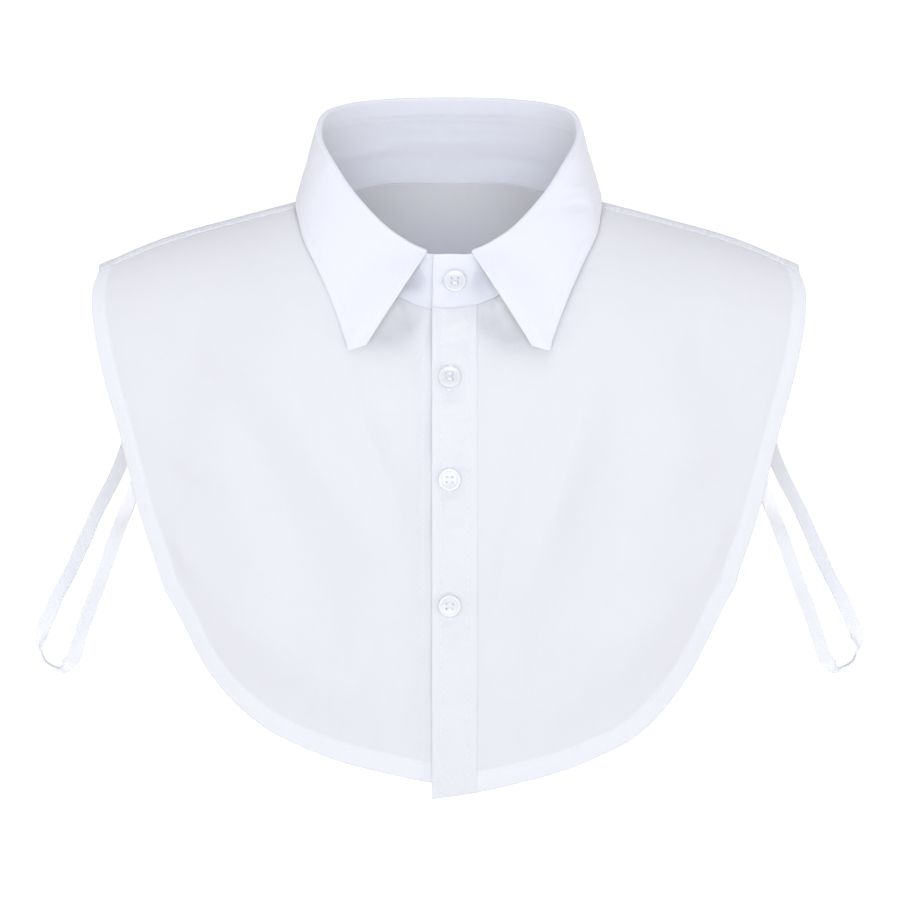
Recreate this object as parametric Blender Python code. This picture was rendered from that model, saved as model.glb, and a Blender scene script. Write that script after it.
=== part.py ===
"""A white detachable shirt collar, filled out as it is worn.

A half-shirt front and back hang from the shoulders. The front buttons down a placket, and the
neck has a buttoned stand with a turned-down leaf. An elastic band at each side joins the front
to the back. The front faces -Y, and the origin is the middle of the neck at shoulder level.
Sizes here are in millimetres, and each mesh is made in metres.
"""

import math

import bmesh
import bpy
import numpy as np
from mathutils import Vector

MM = 0.001
GAP = 0.3

# Walls
PANEL_WALL = 1.2
PLACKET_WALL = 1.1
COLLAR_WALL = 1.2
BAND_WALL = 1.2

# Columns and rows of faces. The rows match on each side of the shoulder seams.
PANEL_ROWS = 19
FRONT_COLUMNS = 21
BACK_COLUMNS = 34
PLACKET_COLUMNS = 3
PLACKET_ROWS = 30
STAND_COLUMNS = 64
STAND_ROWS = 4
LEAF_COLUMNS = 58
LEAF_INNER_ROWS = 1
LEAF_FOLD_ROWS = 5
LEAF_FALL_ROWS = 7
BAND_COLUMNS = 2
BAND_ROWS = 48

# How much closer together the columns stand where a piece turns most
FRONT_CROWDING = 0.6
BACK_CROWDING = 0.75
LEAF_CROWDING = 0.35

# The figure that the cloth hangs on
CHEST_Z = -190.0
BLADE_Z = -150.0
HANG = 200.0
SHOULDER_SQUARENESS = 2.4
WAIST_TUCK = 14.0

# The neck seam in plan
NECK_HALF_WIDTH = 72.0
NECK_FRONT = 68.0
NECK_BACK = 64.0

# The top of the stand in plan
TOP_HALF_WIDTH = 67.0
TOP_FRONT = 60.0
TOP_BACK = 56.5

# The lap in front: how far each layer stands off the figure
RIGHT_LIFT = 1.6
PLACKET_LIFT = 3.05
STAND_LIFT = 2.0
LAP_LEFT = -8.8
LAP_RIGHT = 14.4
LAP_EASE_START = 20.0
LAP_EASE = 40.0
FRONT_EDGE_INSET = 0.5
LEFT_EDGE_INSET = 1.0
STAND_END_INSET = 2.0

# The collar's shape
STAND_BOW = 0.6
STAND_SEAT = 0.05
LEAF_BOW = 0.3
LEAF_FRONT_BOW = 2.2
LEAF_LEVEL_START = 82.0
LEAF_LEVEL_EASE = 30.0
BONES_START = 12.0
BONES_RISE = 25.0
BONES_END = 45.0
BONES_FALL = 35.0

# Seams
SEAM_FORWARD_AT_NECK = 17.0
SEAM_FORWARD_AT_TIP = 12.0
TIP_HALF_WIDTH = 181.5
LEAF_END_ANGLE = 9.6
LEFT_HEM_RISE = 5.6
LEFT_RISE_END = 92.0
LEFT_RISE_EASE = 45.0

# Buttons
BUTTON_WIDTH = 11.5
BUTTON_THICKNESS = 2.4
BUTTON_DISH = 0.6
BUTTON_RIM = 1.5
BUTTON_ROUND = 0.5
BUTTON_HOLE = 1.5
BUTTON_HOLE_PITCH = 2.6
BUTTON_SIDES = 24
HOLE_SIDES = 8
# An edge that turns more than this, in radians, is a corner
SHARP_CORNER = 0.6

# Elastic bands
BAND_WIDTH = 7.0
BAND_CLEARANCE = 1.2
# Shares of the way from the loop's bottom (0) to a sewn end (1)
BAND_TURN_START = 0.08
BAND_TURN = 0.30
BAND_SEWN_START = 0.72
BAND_SEWN = 0.16

WHITE_COTTON = (0.86, 0.87, 0.91)
WHITE_COLLAR = (0.90, 0.91, 0.94)
WHITE_ELASTIC = (0.84, 0.85, 0.89)
PEARL_WHITE = (0.88, 0.88, 0.90)


def table(columns, *rows):
    """Named columns, each an array with a value for each row."""
    return dict(zip(columns.split(), np.array(rows, float).T))


# The shoulder's ridge and how far front and back stand from it, going out from the middle
FIGURE = table(
    "across ridge_y ridge_z front_y back_y",
    (0, 50, 12.0, -104, 97),
    (36, 42, 9.8, -104.5, 98),
    (72, 6, 2.2, -102, 95),
    (110, 3, -7.6, -94, 89),
    (150, 2, -19.0, -78, 76),
    (192, 0, -37.0, -55, 57),
)

# The top edge of the stand and the fold above it, by the angle round the neck from the front
RING = table(
    "angle stand_top rise fold_radius",
    (0, -21.6, 2.2, 1.6),
    (10, -21.5, 2.3, 1.6),
    (24, -14.6, 3.2, 1.6),
    (45, 3.4, 4.0, 1.7),
    (65, 20.5, 5.0, 1.7),
    (84, 30.2, 5.8, 1.7),
    (107, 38.6, 7.6, 1.8),
    (127, 41.0, 8.5, 2.0),
    (153, 42.2, 9.3, 2.0),
    (180, 42.4, 9.4, 2.0),
)

# The leaf's lower edge in plan, and how far it stands off the cloth below it
LEAF_EDGE = table(
    "angle x y hover",
    (9.6, 41.9, -80.2, 2.4),
    (11.6, 50.6, -81.8, 2.4),
    (14, 52.8, -79.6, 2.3),
    (20, 58.0, -72.2, 2.2),
    (30, 66.4, -60.0, 2.2),
    (45, 74.6, -45.0, 2.2),
    (65, 78.4, -26.0, 2.2),
    (90, 78.8, 0.0, 2.4),
    (112, 74.5, 27.5, 2.4),
    (135, 57.5, 51.5, 2.4),
    (158, 31.0, 69.0, 2.4),
    (180, 0.0, 74.5, 2.4),
)
LEAF_BACK_EDGE_Z = 2.6

# The hem from the bottom of the front up to the shoulder's tip
FRONT_HEM = table(
    "out z",
    (14, -292.4),
    (35, -287.7),
    (55, -282.5),
    (76, -274.5),
    (96, -264.0),
    (120, -237.0),
    (141.5, -197.0),
    (156.3, -158.0),
    (167.0, -117.5),
    (176.4, -88.0),
    (183.2, -58.5),
    (184.3, -44.5),
)
FRONT_HEM_BOTTOM = -295.6
BACK_HEM = table(
    "out z",
    (182.6, -47.0),
    (181.2, -62.0),
    (175.0, -92.0),
    (165.5, -122.0),
    (154.0, -160.0),
    (138.5, -196.0),
    (117.0, -230.0),
    (92.0, -252.0),
    (52.0, -270.0),
    (0, -278.0),
)

# Soft folds on each half of the front, from a high point to a low one
FRONT_FOLDS = table(
    "high_out high_z low_out low_z width height",
    (62, -92, 24, -215, 13, 2.2),
    (92, -60, 52, -262, 20, -1.7),
    (112, -150, 92, -255, 22, 2.4),
    (146, -62, 128, -150, 20, -1.8),
    (166, -70, 148, -170, 12, 1.5),
)
# Soft folds on each half of the back
BACK_FOLDS = table(
    "high_out high_z low_out low_z width height",
    (34, -40, 22, -250, 20, 2.0),
    (84, -60, 66, -240, 22, -1.8),
    (126, -70, 112, -210, 20, 2.0),
)

# Buttons: across, level and which piece carries it
BUTTONS = (
    (3.1, -35.4, "stand"),
    (0.3, -83.4, "placket"),
    (0.3, -133.0, "placket"),
    (0.3, -196.0, "placket"),
)

# The elastic band's hanging loop, from the front's edge round its low point to the back's
BAND_LOOP = table(
    "out y z",
    (171.8, -44, -169.5),
    (179.8, -31, -192.0),
    (187.6, -18, -212.0),
    (193.6, -8, -229.0),
    (197.2, -3, -239.0),
    (204.4, 1, -244.2),
    (211.6, 4, -241.0),
    (214.4, 9, -231.5),
    (208.6, 19, -214.0),
    (199.0, 33, -195.0),
    (187.0, 48, -168.0),
    (174.2, 58, -142.0),
)
BAND_FRONT_END = (156.4, -127.0)
BAND_FRONT_EDGE = (160.4, -138.0)
BAND_BACK_END = (164.6, -98.0)
BAND_BACK_EDGE = (167.4, -111.0)


def read(rows, key, column, at, level_start=False, level_end=False):
    """A column of a table, read anywhere between its rows on a smooth curve."""
    places, values = rows[key], rows[column]
    slopes = np.gradient(values, places)
    if level_start:
        slopes[0] = 0.0
    if level_end:
        slopes[-1] = 0.0
    at = np.clip(at, places[0], places[-1])
    i = np.clip(np.searchsorted(places, at, side="right") - 1, 0, len(places) - 2)
    wide = places[i + 1] - places[i]
    t = (at - places[i]) / wide
    near = values[i] * (1 + 2 * t) * (1 - t) ** 2 + values[i + 1] * t * t * (3 - 2 * t)
    return near + wide * (slopes[i] * t * (1 - t) ** 2 - slopes[i + 1] * t * t * (1 - t))


def ease(value, start, length):
    """0 before start, 1 after start + length, and smooth between."""
    t = np.clip((value - start) / length, 0, 1)
    return t * t * (3 - 2 * t)


def along(points, at):
    """Points on a smooth curve through the given ones, by the share of its length."""
    points = np.asarray(points, float)
    steps = np.linalg.norm(np.diff(points, axis=0), axis=1)
    share = np.concatenate([[0], np.cumsum(steps)]) / steps.sum()
    columns = {"share": share}
    for k in range(points.shape[1]):
        columns[k] = points[:, k]
    return np.stack([read(columns, "share", k, at) for k in range(points.shape[1])], axis=-1)


# The figure's surface, by the distance across and the fall: 0 on the shoulder's ridge, 1 at the
# chest, and more below it, and negative the same way down the back.


def section(x):
    across = np.abs(x)
    names = ("ridge_y", "ridge_z", "front_y", "back_y")
    return [read(FIGURE, "across", name, across, level_start=True) for name in names]


def figure(x, fall):
    x, fall = np.broadcast_arrays(np.asarray(x, float), np.asarray(fall, float))
    ridge_y, ridge_z, front_y, back_y = section(x)
    front = fall >= 0
    reach = np.where(front, front_y, back_y) - ridge_y
    widest = np.where(front, CHEST_Z, BLADE_Z)
    turn = np.minimum(np.abs(fall), 1) * math.pi / 2
    hang = np.maximum(np.abs(fall) - 1, 0)
    height = np.clip(np.cos(turn), 0, 1) ** (2 / SHOULDER_SQUARENESS)
    y = ridge_y + reach * np.sin(turn) - np.sign(reach) * WAIST_TUCK * hang**2
    z = widest + (ridge_z - widest) * height - hang * HANG
    return np.stack([x, y, z], axis=-1)


def fall_at_depth(x, y):
    """The fall where the figure is at depth y, on its rounded upper part."""
    ridge_y, _, front_y, back_y = section(x)
    forward = np.clip((ridge_y - y) / (ridge_y - front_y), 0, 1)
    backward = np.clip((y - ridge_y) / (back_y - ridge_y), 0, 1)
    return (np.arcsin(forward) - np.arcsin(backward)) / (math.pi / 2)


def fall_at_level(x, z, side):
    """The fall where the figure is at height z, on the front (side 1) or the back (side -1)."""
    ridge_z = section(x)[1]
    widest = CHEST_Z if side > 0 else BLADE_Z
    share = np.clip((z - widest) / (ridge_z - widest), 0, 1)
    turn = np.arccos(share ** (SHOULDER_SQUARENESS / 2)) / (math.pi / 2)
    return side * (turn + np.maximum(widest - z, 0) / HANG)


def fold_height(rows, x, z):
    """The sum of soft ridges and troughs, each along a line from its high point to its low one."""
    total = np.zeros(np.shape(x))
    for i in range(len(rows["width"])):
        high = np.array([rows["high_out"][i], rows["high_z"][i]])
        run = np.array([rows["low_out"][i], rows["low_z"][i]]) - high
        length = np.linalg.norm(run)
        run /= length
        u, v = np.abs(x) - high[0], z - high[1]
        down = (u * run[0] + v * run[1]) / length
        aside = (u * run[1] - v * run[0]) / rows["width"][i]
        swell = np.sin(math.pi * np.clip(down, 0, 1)) ** 2
        total = total + rows["height"][i] * swell * np.exp(-(aside**2))
    return total


def outward(x, fall):
    """The figure's outward direction."""
    across = figure(x + 0.5, fall) - figure(x - 0.5, fall)
    down = figure(x, fall + 0.004) - figure(x, fall - 0.004)
    out = -np.cross(across, down)
    return out / np.linalg.norm(out, axis=-1, keepdims=True)


def cloth(x, fall, lift=0.0):
    """The outer face of cloth that lies on the figure, moved out by lift, with its folds."""
    x, fall, lift = np.broadcast_arrays(
        np.asarray(x, float), np.asarray(fall, float), np.asarray(lift, float)
    )
    base = figure(x, fall)
    folds = np.where(
        fall >= 0,
        fold_height(FRONT_FOLDS, x, base[..., 2]),
        fold_height(BACK_FOLDS, x, base[..., 2]),
    )
    return base + outward(x, fall) * (lift + folds)[..., None]


# The neck


def neck_plan(angle, spread=0.0):
    """A point of the neck seam in plan, by its angle round from the front, in degrees."""
    turn = np.radians(angle)
    depth = np.where(np.cos(turn) > 0, NECK_FRONT, NECK_BACK) + spread
    return (NECK_HALF_WIDTH + spread) * np.sin(turn), -depth * np.cos(turn)


def neck_fall(angle, spread=0.0):
    """The neck seam on the figure: across, and fall."""
    x, y = neck_plan(angle, spread)
    return np.stack([x, fall_at_depth(x, y)], axis=-1)


def ring_angle(angle):
    """The angle from the front, from 0 to 180, of an angle that goes right round."""
    return np.abs((np.asarray(angle, float) + 180.0) % 360.0 - 180.0)


def ring(column, angle):
    return read(RING, "angle", column, ring_angle(angle), level_start=True, level_end=True)


def stand_lift(angle):
    """How far the stand's lapping end stands off the end below it."""
    return STAND_LIFT * (1 - ease(np.asarray(angle, float), LAP_EASE_START, LAP_EASE))


def stand_top(angle):
    """The outer face of the stand at its top edge."""
    turn = np.radians(angle)
    depth = np.where(np.cos(turn) > 0, TOP_FRONT, TOP_BACK)
    x, y = TOP_HALF_WIDTH * np.sin(turn), -depth * np.cos(turn)
    away = plan_outward(angle)
    top = np.stack([x, y, ring("stand_top", angle)], axis=-1)
    return top + away * stand_lift(angle)[..., None]


def plan_outward(angle):
    """The level direction that points out of the collar at an angle round it."""
    turn = np.radians(angle)
    depth = np.where(np.cos(turn) > 0, TOP_FRONT, TOP_BACK)
    x, y = np.sin(turn) / TOP_HALF_WIDTH, -np.cos(turn) / depth
    size = np.hypot(x, y)
    return np.stack([x / size, y / size, np.zeros_like(x)], axis=-1)


def stand_foot(angle):
    """The outer face of the stand at the neck seam."""
    place = neck_fall(angle)
    foot = cloth(place[..., 0], place[..., 1], stand_lift(angle))
    return foot + np.array([0, 0, GAP / 2 + STAND_SEAT])


def stand_face(u, v):
    """The stand's outer face: u runs round from the lapping end, v from the foot to the top."""
    start = math.degrees(math.asin(LAP_LEFT / NECK_HALF_WIDTH))
    end = 360.0 + math.degrees(math.asin((LAP_RIGHT - STAND_END_INSET) / NECK_HALF_WIDTH))
    angle = start + u * (end - start)
    foot, top = stand_foot(angle), stand_top(angle)
    bow = plan_outward(angle) * np.sin(math.pi * v)[..., None] * STAND_BOW
    return foot + (top - foot) * v[..., None] + bow


def leaf_edge(angle):
    """The leaf's lower edge, just off the cloth that it falls on."""
    near = ring_angle(angle)
    side = np.where(np.sin(np.radians(angle)) < 0, -1.0, 1.0)
    x, y = (read(LEAF_EDGE, "angle", name, near, level_end=name == "y") for name in "xy")
    hover = read(LEAF_EDGE, "angle", "hover", near)
    fall = fall_at_depth(x, y)
    edge = figure(x, fall) + outward(x, fall) * (COLLAR_WALL + hover)[..., None]
    # Behind the shoulders the edge leaves the cloth and runs level
    level = np.stack([x, y, np.full_like(x, LEAF_BACK_EDGE_Z)], axis=-1)
    edge += (level - edge) * ease(near, LEAF_LEVEL_START, LEAF_LEVEL_EASE)[..., None]
    edge[..., 0] *= side
    edge[..., 1] -= stand_lift(angle)
    return edge


def leaf_face(u, v, hook_share, arc_share):
    """The leaf's showing face. u runs round the neck, v from the inner seam over the fold."""
    angle = LEAF_END_ANGLE + u * (360 - 2 * LEAF_END_ANGLE)
    top, away = stand_top(angle), plan_outward(angle)
    radius, rise = ring("fold_radius", angle), ring("rise", angle)
    middle = rise - radius
    up = np.array([0.0, 0.0, 1.0])
    # The inner leg, from the stand's top edge to where the fold starts
    leg = np.clip(v / hook_share, 0, 1)
    height = GAP + (middle - GAP) * leg
    # The fold, half a turn over the top
    turn = math.pi * np.clip((v - hook_share) / (arc_share - hook_share), 0, 1)
    out = radius - COLLAR_WALL - radius * np.cos(turn)
    height = height + radius * np.sin(turn)
    hook = top + away * out[..., None] + up * height[..., None]
    # The fall, on a slightly bowed line to the lower edge
    drop = np.clip((v - arc_share) / (1 - arc_share), 0, 1)
    edge = leaf_edge(angle)
    bow = 4 * drop * (1 - drop) * ring_bow(angle)
    return hook + (edge - hook) * drop[..., None] + away * bow[..., None]


def ring_bow(angle):
    """How far the fall of the leaf bows outward, most over the collar bones."""
    near = ring_angle(angle)
    over_bones = ease(near, BONES_START, BONES_RISE) * (1 - ease(near, BONES_END, BONES_FALL))
    return LEAF_BOW + LEAF_FRONT_BOW * over_bones


# Panels: four edges in the figure's own coordinates, filled between

# Makes steps of fall about as long as steps across, to measure along a hem
FALL_SCALE = np.array([1.0, 100.0])


def shoulder_seam(t, side):
    """The shoulder seam from the neck (0) to the tip (1). side is 1 in front of it, -1 behind."""
    inner = neck_plan(neck_seam_angle(side), GAP / 2)[0]
    x = inner + (TIP_HALF_WIDTH - inner) * t
    forward = SEAM_FORWARD_AT_NECK + (SEAM_FORWARD_AT_TIP - SEAM_FORWARD_AT_NECK) * t
    y = section(x)[0] - forward - side * GAP / 2
    return np.stack([x, fall_at_depth(x, y)], axis=-1)


def filled(near, far, start, end, s, t):
    """A point between four curves: near and far run along s, start and end along t."""
    s1, t1 = s[..., None], t[..., None]
    one, zero = np.ones_like(s), np.zeros_like(s)
    corners = (
        (1 - s1) * ((1 - t1) * near(zero) + t1 * far(zero))
        + s1 * ((1 - t1) * near(one) + t1 * far(one))
    )
    return (1 - t1) * near(s) + t1 * far(s) + (1 - s1) * start(t) + s1 * end(t) - corners


def front_place(side, s, t):
    """Across and fall on a front: s from its front edge to the shoulder, t from neck to hem."""
    edge = LAP_LEFT + FRONT_EDGE_INSET if side > 0 else LEFT_EDGE_INSET - LAP_RIGHT
    out, z = FRONT_HEM["out"], FRONT_HEM["z"]
    out, z = np.concatenate([[edge], out]), np.concatenate([[FRONT_HEM_BOTTOM], z])
    if side < 0:
        z = z + LEFT_HEM_RISE * (1 - ease(out, LEFT_RISE_END, LEFT_RISE_EASE))
    tip = shoulder_seam(np.array([1.0]), 1)
    hem = np.concatenate([np.stack([out, fall_at_level(out, z, 1)], axis=-1), tip])
    edge_angle = math.degrees(math.asin(edge / NECK_HALF_WIDTH))
    seam_neck = neck_seam_angle(1)

    def neck(at):
        return neck_fall(edge_angle + (seam_neck - edge_angle) * at, GAP / 2)

    def bottom(at):
        return along(hem * FALL_SCALE, at) / FALL_SCALE

    def front_edge(at):
        top, low = neck(np.zeros_like(at)), bottom(np.zeros_like(at))
        return top + (low - top) * at[..., None]

    def seam(at):
        return shoulder_seam(at, 1)

    return filled(neck, bottom, front_edge, seam, s, t)


def neck_seam_angle(side):
    """The angle at which the neck seam meets the shoulder seam."""
    angles = np.linspace(60, 100, 401)
    x, y = neck_plan(angles, GAP / 2)
    behind = y - (section(x)[0] - SEAM_FORWARD_AT_NECK - side * GAP / 2)
    return float(np.interp(0, behind, angles))


def back_place(s, t):
    """Across and fall on the back: s from the right shoulder round to the left, t to the hem."""
    half = np.stack(
        [BACK_HEM["out"], fall_at_level(BACK_HEM["out"], BACK_HEM["z"], -1)], axis=-1
    )
    tip = shoulder_seam(np.array([1.0]), -1)
    half = np.concatenate([tip, half])
    hem = np.concatenate([half, (half * [-1, 1])[-2::-1]])
    start = neck_seam_angle(-1)

    def neck(at):
        return neck_fall(start + (360 - 2 * start) * at, GAP / 2)

    def bottom(at):
        return along(hem * FALL_SCALE, at) / FALL_SCALE

    def seam(at):
        return shoulder_seam(at, -1)

    def other_seam(at):
        return shoulder_seam(at, -1) * [-1, 1]

    return filled(neck, bottom, seam, other_seam, s, t)


def right_lift(x):
    return RIGHT_LIFT * (1 - ease(x, LAP_EASE_START, LAP_EASE))


def near_shoulder(s):
    """Sets a front's columns closer together near the shoulder, where it turns most."""
    return s + FRONT_CROWDING * s * (1 - s)


def near_ends(s, crowding):
    """The same for a piece that turns most at both ends."""
    return s - crowding * np.sin(2 * math.pi * s) / (2 * math.pi)


def right_face(s, t):
    place = front_place(1, near_shoulder(s), t)
    return cloth(place[..., 0], place[..., 1], right_lift(place[..., 0]))


def left_face(s, t):
    place = front_place(-1, near_shoulder(s), t)
    return cloth(-place[..., 0], place[..., 1])


def back_face(s, t):
    place = back_place(near_ends(s, BACK_CROWDING), t)
    return cloth(place[..., 0], place[..., 1])


def hem_level(out):
    """The height of the right front's hem near the middle."""
    places = np.concatenate([[LAP_LEFT], FRONT_HEM["out"][:3]])
    levels = np.concatenate([[FRONT_HEM_BOTTOM], FRONT_HEM["z"][:3]])
    return np.interp(out, places, levels)


def placket_face(s, t):
    """The placket's outer face: s across it, t down it."""
    x = LAP_LEFT + (LAP_RIGHT - LAP_LEFT) * s
    angle = np.degrees(np.arcsin(x / NECK_HALF_WIDTH))
    top = neck_fall(angle, GAP / 2)[..., 1]
    low = fall_at_level(x, hem_level(x), 1)
    return cloth(x, top + (low - top) * t, PLACKET_LIFT)


# Elastic bands


def band_path(side, count):
    """The band's middle line, and which way its width lies at each point."""
    hidden = PANEL_WALL + BAND_CLEARANCE + BAND_WALL / 2
    ends = []
    for end, edge, face in (
        (BAND_FRONT_END, BAND_FRONT_EDGE, 1),
        (BAND_BACK_END, BAND_BACK_EDGE, -1),
    ):
        out = np.array([end[0], edge[0]])
        fall = fall_at_level(out, np.array([end[1], edge[1]]), face)
        ends.append(cloth(out, fall, -hidden))
    loop = np.stack([BAND_LOOP["out"], BAND_LOOP["y"], BAND_LOOP["z"]], axis=-1)
    points = np.concatenate([ends[0], loop, ends[1][::-1]])
    share = np.linspace(0, 1, count)
    path = along(points, share)
    tangent = np.gradient(path, axis=0)
    tangent /= np.linalg.norm(tangent, axis=1, keepdims=True)
    # Sewn flat inside the panels, face-on down each strand, and edge-on round the bottom
    flat = []
    for i, face in ((0, 1), (-1, -1)):
        fall = fall_at_level(path[i, 0], path[i, 2], face)
        lies = np.cross(tangent[i], outward(path[i, 0], fall))
        flat.append(lies * math.copysign(1, lies[0]))
    across = np.array([1.0, 0, 0])
    deep = np.array([0, 1.0, 0])
    middle = np.abs(share - 0.5) * 2
    sewn = ease(middle, BAND_SEWN_START, BAND_SEWN)[:, None]
    edge_on = (1 - ease(middle, BAND_TURN_START, BAND_TURN))[:, None]
    nearest = np.where(share[:, None] < 0.5, flat[0], flat[1])
    width = across * (1 - edge_on) + deep * edge_on
    width = width * (1 - sewn) + nearest * sewn
    width -= tangent * np.sum(width * tangent, axis=1, keepdims=True)
    width /= np.linalg.norm(width, axis=1, keepdims=True)
    path[:, 0] *= side
    width[:, 0] *= side
    return path, width


def band_face(side, rows):
    path, width = band_path(side, rows + 1)

    def face(s, t):
        row = np.rint(t * rows).astype(int)
        return path[row] + width[row] * ((s - 0.5) * BAND_WIDTH)[..., None]

    return face


# Making the objects

# Where a wall lies: behind its face, or half on each side of it
BEHIND = -1.0
MIDDLE = 0.0


def clear_scene():
    for item in list(bpy.data.objects):
        bpy.data.objects.remove(item, do_unlink=True)


def material(name, colour, roughness):
    made = bpy.data.materials.new(name)
    made.use_nodes = True
    shader = made.node_tree.nodes["Principled BSDF"]
    shader.inputs["Base Color"].default_value = (*colour, 1)
    shader.inputs["Roughness"].default_value = roughness
    shader.inputs["Metallic"].default_value = 0.0
    return made


def add(name, bm, colour, roughness=0.9):
    """Turns a bmesh in millimetres into a named object in metres."""
    bmesh.ops.scale(bm, vec=(MM, MM, MM), verts=bm.verts)
    mesh = bpy.data.meshes.new(name)
    bm.to_mesh(mesh)
    bm.free()
    mesh.shade_smooth()
    item = bpy.data.objects.new(name, mesh)
    item.data.materials.append(material(name, colour, roughness))
    bpy.context.collection.objects.link(item)
    return item


def wall(name, face, columns, rows, thickness, colour, offset=BEHIND):
    """A wall of cloth behind a face, which is a function of two shares from 0 to 1."""
    bm = bmesh.new()
    bmesh.ops.create_grid(bm, x_segments=columns, y_segments=rows, size=0.5)
    points = np.array([v.co for v in bm.verts])
    places = face(points[:, 0] + 0.5, points[:, 1] + 0.5)
    for vert, place in zip(bm.verts, places):
        vert.co = Vector(place)
    bm.normal_update()
    middle = Vector(places.mean(axis=0))
    middle.y = 0.0
    if sum((f.calc_center_median() - middle).dot(f.normal) * f.calc_area() for f in bm.faces) < 0:
        bmesh.ops.reverse_faces(bm, faces=bm.faces)
    item = add(name, bm, colour)
    solid = item.modifiers.new("wall", "SOLIDIFY")
    solid.thickness = thickness * MM
    solid.offset = offset
    solid.use_even_offset = True
    solid.use_quality_normals = True
    return item


def leaf_wall(name, colour):
    rows = LEAF_INNER_ROWS + LEAF_FOLD_ROWS + LEAF_FALL_ROWS
    hook_share = LEAF_INNER_ROWS / rows
    arc_share = (LEAF_INNER_ROWS + LEAF_FOLD_ROWS) / rows

    def face(u, v):
        return leaf_face(near_ends(u, LEAF_CROWDING), v, hook_share, arc_share)

    return wall(name, face, LEAF_COLUMNS, rows, COLLAR_WALL, colour)


def disc(radius, low, high, sides):
    """A round blank in its own space, with its face up."""
    bm = bmesh.new()
    bmesh.ops.create_cone(
        bm, cap_ends=True, segments=sides, radius1=radius, radius2=radius, depth=high - low
    )
    bmesh.ops.translate(bm, vec=(0, 0, (high + low) / 2), verts=bm.verts)
    return bm


def button(name, x, z, carrier):
    """A four-hole button with a raised rim, on the placket or the stand."""
    fall = fall_at_level(x, z, 1)
    lift = STAND_LIFT if carrier == "stand" else PLACKET_LIFT
    seat = cloth(x, fall, lift)
    out = Vector(outward(x, fall))
    if carrier == "stand":
        angle = math.degrees(math.asin(x / NECK_HALF_WIDTH))
        foot, top = stand_foot(np.array([angle]))[0], stand_top(np.array([angle]))[0]
        rise = top - foot
        seat = foot + rise * (z - foot[2]) / rise[2]
        out = Vector((0, -rise[2], rise[1])).normalized()
        seat = Vector(seat) + out * STAND_BOW
    bm = disc(BUTTON_WIDTH / 2, 0, BUTTON_THICKNESS, BUTTON_SIDES)
    top_face = max(bm.faces, key=lambda f: f.calc_center_median().z)
    bmesh.ops.inset_individual(bm, faces=[top_face], thickness=BUTTON_RIM)
    bmesh.ops.translate(bm, vec=(0, 0, -BUTTON_DISH), verts=top_face.verts)
    outside = BUTTON_WIDTH / 2 - BUTTON_RIM / 2
    rims = [
        edge for edge in bm.edges
        if edge.calc_face_angle(0) > SHARP_CORNER
        and min(vert.co.xy.length for vert in edge.verts) > outside
    ]
    bmesh.ops.bevel(
        bm, geom=rims, offset=BUTTON_ROUND, segments=1, profile=0.5, affect="EDGES", material=-1
    )
    bore = bmesh.new()
    for i in (-1, 1):
        for j in (-1, 1):
            made = bmesh.ops.create_cone(
                bore, cap_ends=True, segments=HOLE_SIDES, radius1=BUTTON_HOLE / 2,
                radius2=BUTTON_HOLE / 2, depth=3 * BUTTON_THICKNESS,
            )
            shift = (i * BUTTON_HOLE_PITCH / 2, j * BUTTON_HOLE_PITCH / 2, 0)
            bmesh.ops.translate(bore, vec=shift, verts=made["verts"])
    # The button's face turns from up to the way that the cloth faces
    turn = out.to_track_quat("Z", "Y").to_matrix()
    place = Vector(seat) + out * GAP
    for made in (bm, bore):
        bmesh.ops.rotate(made, cent=(0, 0, 0), matrix=turn, verts=made.verts)
        bmesh.ops.translate(made, vec=place, verts=made.verts)
    item = add(name, bm, PEARL_WHITE, 0.35)
    item.data.set_sharp_from_angle(angle=SHARP_CORNER)
    cutter = add(name + "_holes", bore, PEARL_WHITE)
    cutter.hide_render = True
    cutter.display_type = "WIRE"
    cut = item.modifiers.new("holes", "BOOLEAN")
    cut.operation = "DIFFERENCE"
    cut.solver = "EXACT"
    cut.object = cutter


def main():
    clear_scene()
    wall("front_left", left_face, FRONT_COLUMNS, PANEL_ROWS, PANEL_WALL, WHITE_COTTON)
    wall("front_right", right_face, FRONT_COLUMNS, PANEL_ROWS, PANEL_WALL, WHITE_COTTON)
    wall("back", back_face, BACK_COLUMNS, PANEL_ROWS, PANEL_WALL, WHITE_COTTON)
    wall("placket", placket_face, PLACKET_COLUMNS, PLACKET_ROWS, PLACKET_WALL, WHITE_COTTON)
    wall("stand", stand_face, STAND_COLUMNS, STAND_ROWS, COLLAR_WALL, WHITE_COLLAR)
    leaf_wall("leaf", WHITE_COLLAR)
    for number, (x, z, carrier) in enumerate(BUTTONS, start=1):
        button(f"button_{number}", x, z, carrier)
    for name, side in (("elastic_left", -1), ("elastic_right", 1)):
        face = band_face(side, BAND_ROWS)
        wall(name, face, BAND_COLUMNS, BAND_ROWS, BAND_WALL, WHITE_ELASTIC, MIDDLE)


main()
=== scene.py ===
"""The look of a white detachable shirt collar, sewn and pressed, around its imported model.

It is laid out as an add-on and run as a script. Sizes inside are in millimetres, and each mesh
is made in metres. The front faces -Y, and left and right are as seen from the front.
"""

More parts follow.
